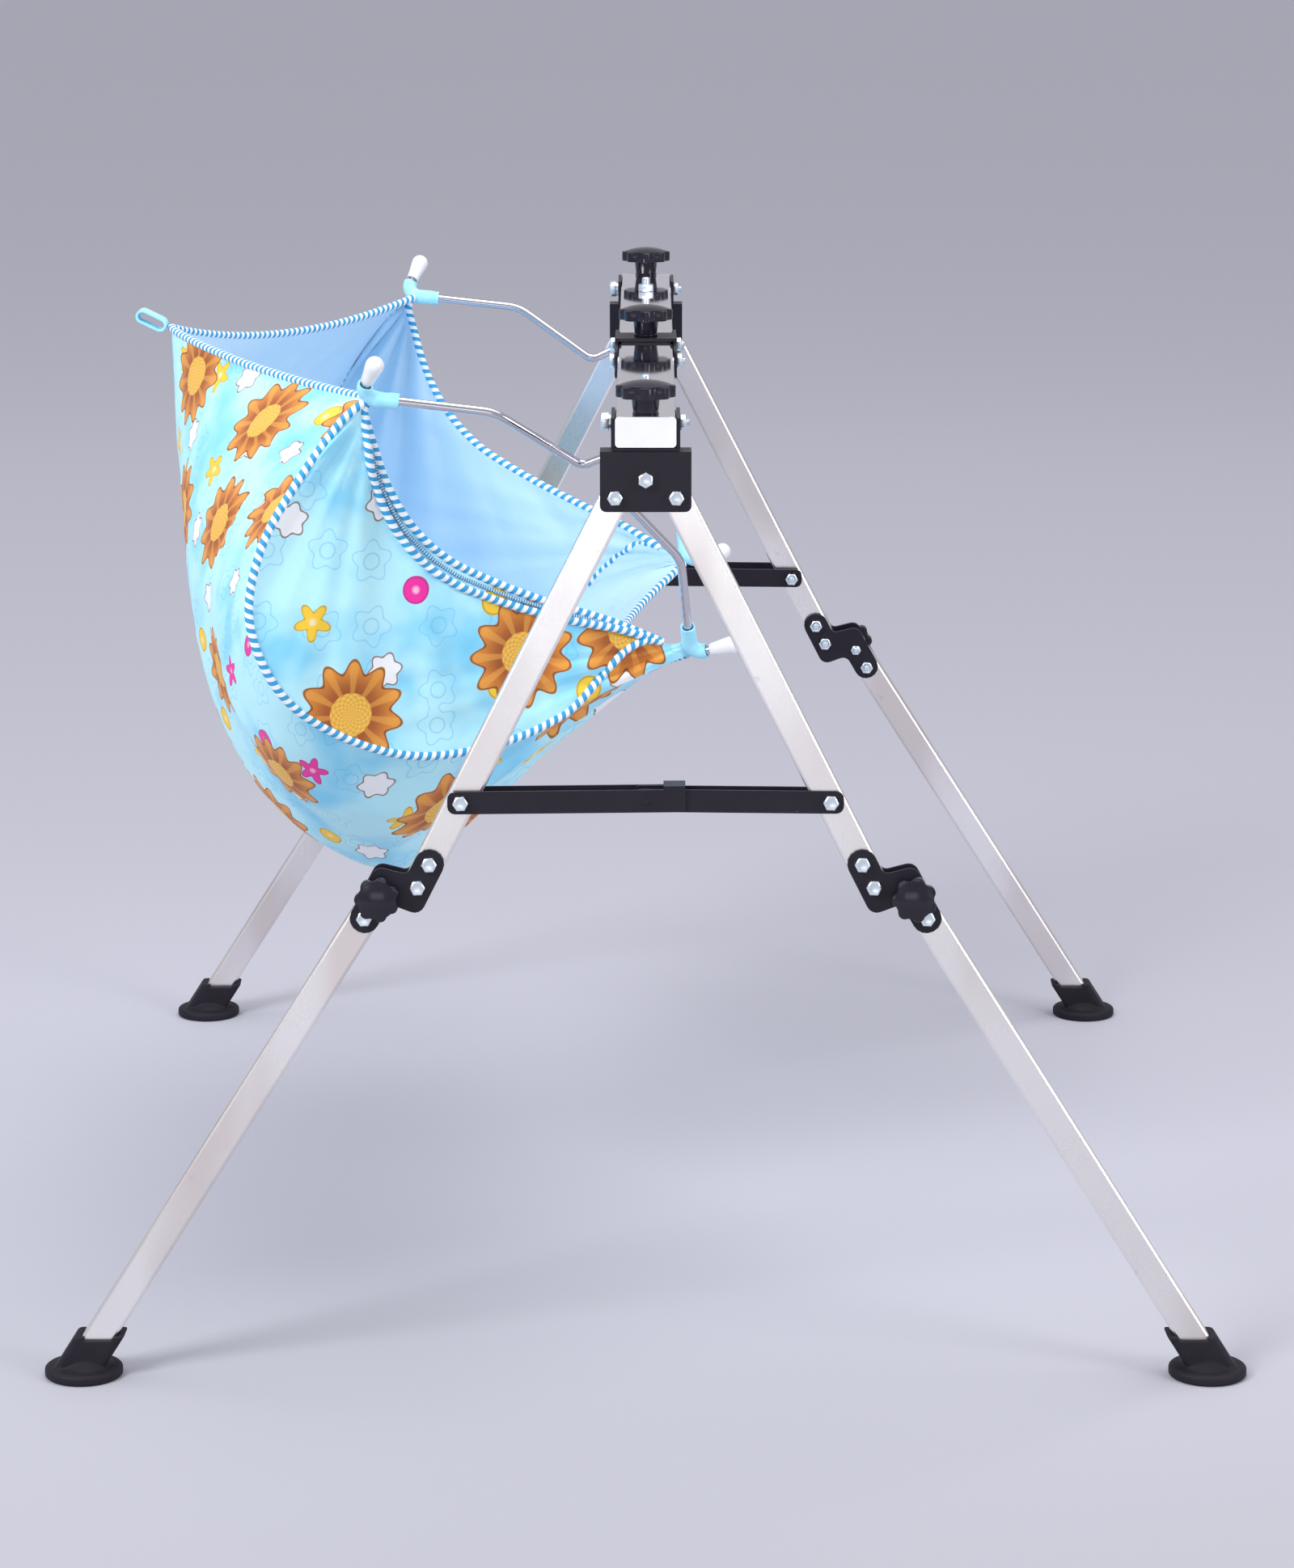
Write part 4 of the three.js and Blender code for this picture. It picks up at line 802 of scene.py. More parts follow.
def hanger_points(end, sizes):
    """The wire's path from tip to tip, over the ring in its middle"""
    loop = ROD_RADIUS + RING_WIRE + LOOP_GAP
    down = Vector((-math.sin(HANGER_TILT), 0, -math.cos(HANGER_TILT)))
    across = Vector((math.cos(HANGER_TILT), 0, -math.sin(HANGER_TILT)))
    pin = Vector((0, end * HANGER_Y, PIN_HEIGHT))
    round_top = [pin + across * (side * loop) + down * drop for side, drop in (
        (-1, ROD_RADIUS), (-1, -loop), (1, -loop), (1, ROD_RADIUS))]
    left = wire_corners("left", end, "tip", "hook", "elbow", "neck")
    right = wire_corners("right", end, "neck", "elbow", "hook", "tip")
    bend, elbow = sizes.wire_bend, sizes.elbow_bend
    bends = [0, bend, elbow, bend, ROD_RADIUS, loop, loop, ROD_RADIUS, bend, elbow, bend, 0]
    return bent_path(left + round_top + right, bends)


# How far above a wire's low bend the cloth is pinned: the right ends of its seam and its rim, and the rest
PIN_EDGE = 1 * MM
PIN_RIM = 28 * MM
PIN_REST = 12 * MM

# Sleeves, second piping, zips and pull loop
SLEEVE_RADIUS = 6.9 * MM
SLEEVE_CLOTH = 1.6 * MM
SLEEVE_TOP = 34 * MM
SLEEVE_STEP = 3 * MM
SLEEVE_ABOVE = 22 * MM
SLEEVE_BEYOND = 15.5 * MM
RIPPLE = 0.8 * MM
RIM_END = 0.985
SEAM_JOIN = 0.13
SECOND_ROW = 0.1
SECOND_RISE = 2.6 * MM
ZIP_ROW = 0.05
ZIP_RISE = 1.4 * MM
ZIP_RADIUS = 1.9 * MM
ZIP_SHORT = 0.015
LOOP_TILT = math.radians(26)

# Where the ends take their print from: stretch across, and shift across and up
END_PRINT = (1.1, 3.1, 0.37)

# How far the cloth bows, sags and swells
END_BOW = 12 * MM
END_SWELL = 12 * MM
RIM_SAG = {-1: 6 * MM, 1: 22 * MM}
SEAT_WAVE = 6 * MM

# Distances over which creases fan out from a corner, and the height under which they lie level, in metres
FAN_START = 0.05
FAN_REACH = 0.30
LEVEL_TOP = 0.56
LEVEL_DEPTH = 0.16

# Cloth sections round the cradle, left rim to right rim, X and Z in millimetres
END_SECTION = ((-246, 816), (-292, 757), (-330, 690), (-338, 620), (-300, 548), (-212, 500), (-120, 503),
               (-34, 538), (40, 563))
MIDDLE_SECTION = ((-446, 830), (-441, 715), (-425, 600), (-392, 475), (-325, 375), (-235, 330), (-155, 393),
                  (-88, 456), (-26, 524))
END_RIM = ((-246, 816), (-236, 777), (-224, 738), (-203, 700), (-172, 668), (-130, 643), (-80, 620),
           (-22, 596), (40, 563))


def along_section(section, share):
    """Smooth curve through a section's points, share 0 to 1"""
    place = share * (len(section) - 1)
    index = min(int(place), len(section) - 2)
    weight = place - index
    p0 = Vector(section[max(index - 1, 0)])
    p1 = Vector(section[index])
    p2 = Vector(section[index + 1])
    p3 = Vector(section[min(index + 2, len(section) - 1)])
    v0 = (p2 - p0) / 2
    v1 = (p3 - p1) / 2
    cube = (2 * p1 - 2 * p2 + v0 + v1) * weight ** 3
    square = (-3 * p1 + 3 * p2 - 2 * v0 - v1) * weight ** 2
    return (cube + square + v0 * weight + p1) * MM


def panel_reach(x):
    """How far along the stand an end panel is, on a straight line between its two hooks"""
    left = HANGER["left"]["hook"]
    right = HANGER["right"]["hook"]
    share = (x - left.x) / (right.x - left.x)
    return -(left.y + (right.y - left.y) * share)


def cloth_corner(side, end, above=PIN_REST):
    """Point of a wire, this far above its low bend"""
    wire = HANGER[side]
    direction = (wire["elbow"] - wire["hook"]).normalized()
    return at_end(wire["hook"] + direction * above, end)


def pin_corner(point, around, end, above):
    """Draws the last stretch of an edge to the wire, on the right this far above the wire's low bend"""
    pull = max(0.0, 1 - min(around, 1 - around) * 20)
    if not pull:
        return point
    corner = cloth_corner("left", end) if around < 0.5 else cloth_corner("right", end, above)
    return point.lerp(corner, pull)


def edge_point(around, end):
    flat = along_section(END_SECTION, around)
    reach = panel_reach(flat.x) + END_BOW * math.sin(math.pi * around)
    return pin_corner(Vector((flat.x, end * reach, flat.y)), around, end, PIN_EDGE)


def rim_point(around, end):
    flat = along_section(END_RIM, around)
    return pin_corner(Vector((flat.x, end * panel_reach(flat.x), flat.y)), around, end, PIN_RIM)


def crumple(point, end, across, sizes):
    """Creases that fan from the two hung corners, with soft sagging ones between, in metres"""
    total = 0.0
    for number, side in enumerate(SIDES):
        away = point - cloth_corner(side, end)
        distance = away.length
        turn = math.atan2(away.z, away.y * across[0] + away.x * across[1])
        ridge = noise.noise(Vector((turn * 7.5, distance * 1.5, 3.7 + number + end)))
        ridge += 0.5 * noise.noise(Vector((turn * 17, distance * 3, 9.2 + number + end)))
        pleat = 0.3 - abs(noise.noise(Vector((turn * 5.0, distance * 0.8, 15.3 + number + end))))
        near = min(1.0, distance / FAN_START)
        total += (1.4 * ridge + 1.1 * pleat) * near * math.exp(-(distance / FAN_REACH) ** 2)
    along = point.y * across[0] + point.x * across[1]
    sag = noise.noise(Vector((along * 9 + end, point.z * 4.2, 5.1)))
    upright = noise.noise(Vector((along * 26, point.z * 5.5, 1.3 + end)))
    level = noise.noise(Vector((along * 6, point.z * 24, 7.9 + end)))
    low = max(0.0, min(1.0, (LEVEL_TOP - point.z) / LEVEL_DEPTH))
    return sizes.crease_depth * (total + 0.65 * sag + 0.35 * upright + 0.45 * level * low)


def smooth_share(value, low, high):
    share = max(0.0, min(1.0, (value - low) / (high - low)))
    return share * share * (3 - 2 * share)


def taper(share):
    """Share of its full distance from the rim that a second seam has here"""
    return min(1.0, 6 * share, 6 * (1 - share)) * 0.8


def long_point(around, along, sizes):
    """Point of the bag's long sheet: around it from rim to rim, along it from -1 near to 1 far"""
    end = -1 if along < 0 else 1
    share = abs(along)
    below_rim = smooth_share(around, 0, 0.3)
    blend = share ** (1.15 + 1.35 * below_rim)
    sag = RIM_SAG[end] * 4 * share * (1 - share) * (1 - below_rim)
    edge = edge_point(around, end)
    flat = along_section(MIDDLE_SECTION, around)
    x = flat.x + (edge.x - flat.x) * blend
    z = flat.y + (edge.z - flat.y) * blend - sag
    wave = math.cos(math.pi * 5 * along)
    fade = 4 * share * (1 - share) * math.sin(math.pi * around) ** 2
    lift = SEAT_WAVE * wave * fade
    point = Vector((x, edge.y * share, z))
    calm = min(1.0, 8 * min(around, 1 - around) + 0.12) * min(1.0, 7 * (1 - share))
    middle = smooth_share(share, 0, 0.12)
    either = crumple(point, end, (1, 0), sizes)
    if middle < 1:
        mean = (either + crumple(point, -end, (1, 0), sizes)) / 2
        either = mean + (either - mean) * middle
    lift += either * calm
    out = Vector((math.cos(math.pi * (1 - around)), 0, -math.sin(math.pi * around)))
    return point + out * lift


def end_point(around, row, end, sizes):
    """Point of an end panel: around it from rim to rim, its row from 0 at the seam to 1 at the rim"""
    point = edge_point(around, end).lerp(rim_point(around, end), row)
    swell = math.sin(math.pi * row) * math.sin(math.pi * around)
    fold = 0.5 * math.cos(4 * math.pi * around)
    calm = min(1.0, 6 * row) * min(1.0, 5 * (1 - row) + 0.25) * min(1.0, 10 * min(around, 1 - around))
    lift = crumple(point, end, (0, 1), sizes) * calm
    point.y += end * (END_SWELL * swell * (1 + fold) * 0.5 + lift)
    return point


# Settings


def length_setting(name, description, default):
    return bpy.props.FloatProperty(name=name, description=description, default=default, unit="LENGTH")


def colour_setting(name, description, default):
    return bpy.props.FloatVectorProperty(name=name, description=description, default=default,
                                         subtype="COLOR", size=3)


class CradleSizes(bpy.types.PropertyGroup):
    """Sizes of the soft and turned pieces"""

    wire_bend: length_setting("Wire bend", "Radius of the hanger wire's bends", 11 * MM)
    elbow_bend: length_setting("Elbow bend", "Radius of the bend midway along each arm", 42 * MM)
    cloth_thickness: length_setting("Cloth thickness", "Cover and lining together", 2.6 * MM)
    seam_end: bpy.props.FloatProperty(
        name="Seam end", description="Share of an end panel's width where its piped edges meet",
        default=0.945)
    crease_depth: length_setting("Crease depth", "Depth of the cloth's small creases", 6 * MM)
    piping_radius: length_setting("Piping radius", "Radius of the striped piping", 3.7 * MM)
    knob_radius: length_setting("Bar knob radius", "Outer radius of the star knobs on the bar", 25 * MM)
    knee_knob_radius: length_setting("Knee knob radius", "Outer radius of the knee knobs", 19 * MM)
    pad_radius: length_setting("Foot pad radius", "Radius of the rubber foot pads", 33.4 * MM)


class CradleColours(bpy.types.PropertyGroup):
    """Colours and print sizes of the cloth"""

    # In the print, the patches between the cloth blue and the pale cloth blue are painted shade of the
    # cloth's folds
    ground: colour_setting("Cloth blue", "Ground colour of the print", (0.21, 0.67, 0.95))
    ground_pale: colour_setting("Pale cloth blue", "Pale clouds of the ground", (0.50, 0.90, 1.0))
    ground_deep: colour_setting("Deep cloth blue", "Faint line drawing of the ground", (0.10, 0.50, 0.86))
    lining: colour_setting("Lining", "Lining colour", (0.50, 0.74, 0.96))
    lining_pale: colour_setting("Pale lining", "Pale part of the lining", (0.66, 0.86, 1.0))
    piping_blue: colour_setting("Piping blue", "Blue stripe of the piping", (0.03, 0.34, 0.66))
    stripe_pitch: length_setting("Stripe pitch", "Length of one stripe pair along the piping", 8.5 * MM)
    flower_cell: length_setting("Flower spacing", "Spacing of the large print", 150 * MM)
    small_cell: length_setting("Small print spacing", "Spacing of the small print", 80 * MM)
    faint_cell: length_setting("Faint print spacing", "Spacing of the faint line drawing", 58 * MM)


# Pieces


class CRADLE_OT_stage(bpy.types.Operator):
    """Adds the floor, the lights and the camera"""

    bl_idname = "cradle.stage"
    bl_label = "Stage"

    def execute(self, context):
        self.floor()
        for name, (place, size, power) in LAMPS.items():
            self.light(name, place, size, power)
        world = bpy.data.worlds.new("soft_grey")
        world.use_nodes = True
        sky = world.node_tree.nodes["Background"].inputs
        sky["Color"].default_value = SKY_COLOUR
        sky["Strength"].default_value = SKY_STRENGTH
        context.scene.world = world
        context.scene.view_settings.view_transform = "Standard"
        self.camera(context)
        return {"FINISHED"}

    def floor(self):
        """A pale floor that runs out of sight on every side"""
        bpy.ops.mesh.primitive_circle_add(vertices=128, radius=FLOOR_RADIUS, fill_type="NGON")
        floor = bpy.context.object
        floor.name = "floor"
        floor.data.materials.append(finish(pale_floor))

    def light(self, name, place, size, power):
        bpy.ops.object.light_add(type="AREA", location=place)
        lamp = bpy.context.object
        lamp.name = name
        lamp.data.shape = "RECTANGLE"
        lamp.data.size, lamp.data.size_y = size
        lamp.data.energy = power
        lamp.rotation_euler = (LAMP_AIM - Vector(place)).to_track_quat("-Z", "Y").to_euler()

    def camera(self, context):
        bpy.ops.object.camera_add(location=EYE)
        eye = context.object
        eye.name = "camera"
        eye.rotation_euler = (math.pi / 2 - EYE_DROP, 0, 0)
        eye.data.sensor_width = SENSOR
        eye.data.lens = FOCAL_PIXELS / IMAGE_HEIGHT * SENSOR
        context.scene.camera = eye


class CRADLE_OT_metal(bpy.types.Operator):
    """Gives the frame's own bars, legs, plates, saddles and braces their finishes"""

    bl_idname = "cradle.metal"
    bl_label = "Metal finishes"

    def execute(self, context):
        makers = {
            "polished_steel": polished_steel,
            "leg_steel": brushed_leg_steel,
            "black_coat": black_powder_coat,
            "zinc_plate": bright_zinc_plate,
            "white_plastic": glossy_white_plastic,
        }
        for part in frame["record"]["subparts"]:
            if part["material_slot"] in makers:
                for slot in frame["nodes"][part["node"]].material_slots:
                    slot.material = finish(makers[part["material_slot"]])
        return {"FINISHED"}


class CRADLE_OT_knobs(bpy.types.Operator):
    """Adds the star knobs on the bar and at the knees"""

    bl_idname = "cradle.knobs"
    bl_label = "Star knobs"

    def execute(self, context):
        sizes = context.scene.cradle_sizes
        for name, y, base, stud in (
            ("near_bar", HEAD_Y, BAR_TOP + FIT_GAP, BAR_STUD),
            ("middle_bar", MIDDLE_KNOB_Y, BAR_TOP + SHEET + 2 * FIT_GAP, BAR_STUD - SHEET),
            ("far_bar", -HEAD_Y, BAR_TOP + FIT_GAP, BAR_STUD),
        ):
            knob = self.star(name + "_star_knob", sizes.knob_radius, **BAR_KNOB)
            thread = self.stud(name + "_stud", ROD_RADIUS, stud)
            piece = join_pieces(name + "_star_knob", [knob, thread])
            settle(piece, Matrix.Translation((0, y, base)))
            dress(piece, finish(moulded_black_plastic), name + "_lock", "black_plastic", name + "_knob")
        for name, end, side in legs():
            self.knee_knob(name, end, side, sizes.knee_knob_radius)
        return {"FINISHED"}

    def knee_knob(self, name, end, side, radius):
        """Knob, and on the other face its stud's end and nut"""
        seat = HALF_DEPTH + FIT_GAP
        away = KNEE_PIVOT[1] - LOCK_REACH * math.cos(BEND)
        out = KNEE_PIVOT[0] - LOCK_REACH * math.sin(BEND)
        place = leg_place(end, side) @ Matrix.Translation((side * out, 0, -away))
        knob = self.star(name + "_star", radius, **KNEE_KNOB)
        settle(knob, place @ Matrix.Translation((0, -seat, 0)) @ Matrix.Rotation(math.pi / 2, 4, "X"))
        dress(knob, finish(moulded_black_plastic), name + "_lock", "black_plastic", name + "_knee_knob")
        knob.name = name + "_knee_star_knob"
        nut_radius, nut_height = LOCK_NUT
        nut = hexagon(name + "_lock_nut", nut_radius, seat, seat + nut_height, 0.8 * MM)
        shank = self.stud(name + "_lock_stud", BOLT_RADIUS, HALF_DEPTH + LOCK_STUD)
        shank.matrix_world = Matrix.Rotation(math.pi, 4, "X")
        inner = self.stud(name + "_lock_neck", BOLT_RADIUS, seat)
        joined = settle(join_pieces(name + "_lock_bolt", [settle(nut), settle(shank), settle(inner)]),
                        place @ Matrix.Rotation(-math.pi / 2, 4, "X"))
        dress(joined, finish(bright_zinc_plate), name + "_lock", "zinc_plate")

    def stud(self, name, radius, length):
        return revolve(name, [
            (0, -length), (radius * 0.8, -length), (radius, -length + 0.8 * MM), (radius, 0), (0, 0)], 24)

    def star(self, name, radius, lobes, depth, height, rim_height, neck):
        """Star knob on Z = 0: lobed rim with rounded edges, a low dome, a neck and a foot flange"""
        rim_low = height - KNOB_CROWN - rim_height
        count = lobes * 14
        outline = []
        for step in range(count):
            turn = 2 * math.pi * step / count
            swell = 0.5 - 0.5 * math.cos(lobes * turn)
            reach = radius - depth * 1.15 * swell ** 1.4
            outline.append((reach * math.cos(turn), reach * math.sin(turn)))
        vertices = [
            (x * grow, y * grow, rim_low + rim_height * rise) for grow, rise in KNOB_SIDE for x, y in outline]
        rim = mesh_piece(name, vertices, skin(len(KNOB_SIDE), count))
        edge = radius * 0.86
        top = rim_low + rim_height
        crown = height - top
        dome = revolve(name + "_dome", [(0, top - 1 * MM)] + [
            (edge * out, top + crown * rise) for out, rise in KNOB_DOME], 48)
        end = rim_low + 2 * MM
        stem = revolve(name + "_stem", [(0, 0)] + [
            (neck * out, height) for out, height in (
                (0.9, 0), (0.93, 0.5 * MM), (0.93, 1.4 * MM), (0.87, 2.2 * MM),
                (0.98, rim_low - 1.5 * MM), (1.06, rim_low), (1.06, end))] + [(0, end)], 40)
        return join_pieces(name, [rim, dome, stem])


class CRADLE_OT_bolts(bpy.types.Operator):
    """Adds the zinc bolts, nuts and hanger ring bolts"""

    bl_idname = "cradle.bolts"
    bl_label = "Bolts"

    def execute(self, context):
        for end, end_name in ENDS:
            plane = plane_place(end)
            centre = plane @ Matrix.Translation((0, 0, -CENTRE_BOLT_DROP))
            hex_bolt(f"{end_name}_head_bolt", centre, HALF_DEPTH, HALF_DEPTH + FIT_GAP, "stand_top")
            for side in (-1, 1):
                self.leg_bolts(end, end_name, side)
            self.bar_bolts(end, end_name)
            self.ring_bolt(end, end_name)
        return {"FINISHED"}

    def leg_bolts(self, end, end_name, side):
        """The bolts at a leg's pivot, knee plates and brace"""
        name = leg_name(end, side)
        leg = leg_place(end, side)
        hex_bolt(f"{name}_pivot", leg, HALF_DEPTH + FIT_GAP, HALF_DEPTH + FIT_GAP, "stand_top",
                 f"{name}_leg_pivot_bolt")
        places = [(0, -KNEE_BOLTS[0]), (0, -KNEE_BOLTS[1]), (side * KNEE_PIVOT[0], -KNEE_PIVOT[1])]
        for number, (x, z) in enumerate(places, 1):
            place = leg @ Matrix.Translation((x, 0, z))
            hex_bolt(f"{name}_knee_bolt_{number}", place, HALF_DEPTH, HALF_DEPTH + FIT_GAP, f"{name}_leg")
        brace = leg @ Matrix.Translation((0, 0, -BRACE_BOLT))
        face, strips = (HALF_DEPTH + SHEET, "double") if side < 0 else (HALF_DEPTH, "single")
        hex_bolt(f"{name}_brace_bolt", brace, face, face + FIT_GAP, f"{end_name}_brace_{strips}")

    def bar_bolts(self, end, end_name):
        """The cross bolts of the saddle and of the joint bracket"""
        face = BAR_WIDTH / 2 + FIT_GAP + SHEET + FIT_GAP
        middle = BAR_TOP - BAR_HEIGHT / 2
        across = Matrix.Rotation(-math.pi / 2, 4, "Z")
        saddle = Matrix.Translation((0, end * (BAR_LENGTH / 2 - SADDLE_INSET), middle + SADDLE_RISE))
        joint = Matrix.Translation((0, JOINT_BOLTS[end_name], BAR_BOTTOM + JOINT_RISE))
        hex_bolt(f"{end_name}_saddle_cross_bolt", saddle @ across, face, face, "stand_top",
                 f"{end_name}_saddle_bolt", radius=8.1 * MM, spacer=2 * MM, height=7 * MM)
        hex_bolt(f"{end_name}_joint_cross_bolt", joint @ across, face, face, "stand_top",
                 f"{end_name}_joint_bolt")

    def ring_bolt(self, end, end_name):
        """Upright bolt through the bar with a closed ring below it"""
        span = 9 * MM
        corner = 5 * MM
        seat_low = BAR_BOTTOM - FIT_GAP
        seat_high = BAR_TOP + FIT_GAP
        top = seat_low - 3 * MM
        shoulder = top - RING_WIRE
        corners = [Vector((0, y, z)) for y, z in (
            (0, top), (span, shoulder), (span, PIN_HEIGHT), (-span, PIN_HEIGHT), (-span, shoulder), (0, top))]
        path = bent_path(corners, [0, corner / 2, corner, corner, corner / 2, 0], 6)
        tip = seat_high + 14 * MM
        root = BAR_BOTTOM - 3 * MM
        nut_height = 7 * MM
        collar_height = 6 * MM
        parts = [
            tube(f"{end_name}_ring", path, RING_WIRE, 14),
            hexagon("top_nut", HANGER_NUT, seat_high, seat_high + nut_height, 1.4 * MM),
            hexagon("collar", HANGER_NUT, seat_low - collar_height, seat_low, 1.2 * MM),
            revolve("shank", [
                (0, root), (4 * MM, root), (4 * MM, tip - 1 * MM), (3.2 * MM, tip), (0, tip)], 24),
        ]
        piece = join_pieces(f"{end_name}_ring_bolt", [settle(part) for part in parts])
        settle(piece, Matrix.Translation((0, end * HANGER_Y, 0)))
        dress(piece, finish(bright_zinc_plate), "stand_top", "zinc_plate", f"{end_name}_hanger_bolt")


class CRADLE_OT_feet(bpy.types.Operator):
    """Adds the moulded rubber feet"""

    bl_idname = "cradle.feet"
    bl_label = "Rubber feet"

    def execute(self, context):
        sizes = context.scene.cradle_sizes
        for name, end, side in legs():
            self.foot(name, shin_place(end, side), sizes.pad_radius)
        return {"FINISHED"}

    def foot(self, name, shin, radius):
        """Pad, flare and socket made one, with the tube's bore and the notch between the two ears"""
        tail = shin @ Vector((0, 0, -SHIN_LENGTH))
        middle_x = math.copysign(FOOT_X, tail.x)
        pad = revolve(name + "_pad", [
            (0, 0), (radius - 1.2 * MM, 0), (radius, 1 * MM), (radius, 6.6 * MM),
            (radius - 0.9 * MM, 7.9 * MM), (radius - 3 * MM, 8.8 * MM), (radius * 0.6, 9.8 * MM),
            (0, 10 * MM)], 96)
        settle(pad, Matrix.Translation((middle_x, tail.y, 0)))
        socket = self.block(shin, SOCKET, -SHIN_LENGTH + 10 * MM, SOCKET_CORNER)
        self.trim(socket, SOCKET_LOW, lower=False)
        self.trim(socket, SOCKET_TOP, lower=True)
        flare = revolve(name + "_flare", [
            (0, 6 * MM), (25 * MM, 8 * MM), (17 * MM, 14 * MM), (0, 17 * MM)], 48)
        settle(flare, Matrix.Translation((tail.x + (middle_x - tail.x) * 0.4, tail.y, 0)))
        body = join_pieces(name + "_rubber_foot", [pad, socket, flare])
        apply_modifier(body, "REMESH", mode="VOXEL", voxel_size=COARSE_GRID, use_smooth_shade=True)
        bore = self.block(shin, BORE, BORE[2] / 2 - SHIN_LENGTH - FIT_GAP)
        notch = self.block(shin, NOTCH, -SHIN_LENGTH)
        self.trim(notch, NOTCH_LOW, lower=False)
        for tool in (bore, notch):
            apply_modifier(body, "BOOLEAN", object=tool, operation="DIFFERENCE", solver="EXACT")
            bpy.data.objects.remove(tool)
        apply_modifier(body, "REMESH", mode="VOXEL", voxel_size=FINE_GRID, use_smooth_shade=True)
        apply_modifier(body, "SMOOTH", factor=0.5, iterations=3)
        choose(body)
        ground = min(v.co.z for v in body.data.vertices)
        for vertex in body.data.vertices:
            if vertex.co.z < SOLE:
                vertex.co.z = max(vertex.co.z - ground, 0.0)
        dress(body, finish(moulded_rubber), name + "_shin", "rubber", name + "_foot", smooth=40)

    def block(self, place, size, middle, corner=0.0):
        bpy.ops.mesh.primitive_cube_add(size=1, location=(0, 0, middle))
        piece = bpy.context.object
        piece.scale = size
        settle(piece)
        if corner:
            apply_modifier(piece, "BEVEL", width=corner, segments=4, limit_method="ANGLE")
        return settle(piece, place)

    def trim(self, piece, height, lower):
        """Keeps what lies under a height, or above it, and closes the cut"""
        choose(piece)
        bpy.ops.object.mode_set(mode="EDIT")
        bpy.ops.mesh.select_all(action="SELECT")
        bpy.ops.mesh.bisect(plane_co=(0, 0, height), plane_no=(0, 0, 1), use_fill=True,
                            clear_outer=lower, clear_inner=not lower)
        bpy.ops.object.mode_set(mode="OBJECT")


class CRADLE_OT_hangers(bpy.types.Operator):
    """Adds the bent wire hangers and their white end caps"""

    bl_idname = "cradle.hangers"
    bl_label = "Wire hangers"

    def execute(self, context):
        sizes = context.scene.cradle_sizes
        for end, end_name in ENDS:
            rod = tube(f"{end_name}_bent_wire", hanger_points(end, sizes), ROD_RADIUS, 20)
            dress(rod, finish(hanger_wire_steel), "cradle", "polished_steel", f"{end_name}_hanger_rod",
                  smooth=60)
            for side in SIDES:
                self.cap(f"{end_name}_{side}", *wire_corners(side, end, "tip", "hook"))
        return {"FINISHED"}

    def cap(self, name, tip, hook):
        """White cap over the wire's end, a tapered sleeve that closes in a ball"""
        bore = 4.4 * MM
        depth = 21.4 * MM
        mouth = 5.9 * MM
        ball = 8.1 * MM
        length = 28 * MM
        profile = [(0, depth), (bore, depth), (bore, 0.6 * MM), (bore + 0.4 * MM, 0), (mouth - 0.4 * MM, 0),
                   (mouth, 0.5 * MM), (mouth + 0.4 * MM, 6 * MM), (ball - 0.5 * MM, 15 * MM)]
        steps = 8
        for step in range(steps + 1):
            turn = math.pi / 2 * step / steps
            out = ball * math.cos(turn) if step < steps else 0
            profile.append((out, length - ball + ball * math.sin(turn)))
        piece = revolve(name + "_white_cap", profile, 40)
        direction = (tip - hook).normalized()
        turn = direction.to_track_quat("Z", "Y").to_matrix().to_4x4()
        settle(piece, Matrix.Translation(tip - direction * 21 * MM) @ turn)
        dress(piece, finish(glossy_white_plastic), "cradle", "white_plastic", name + "_rod_cap", smooth=50)


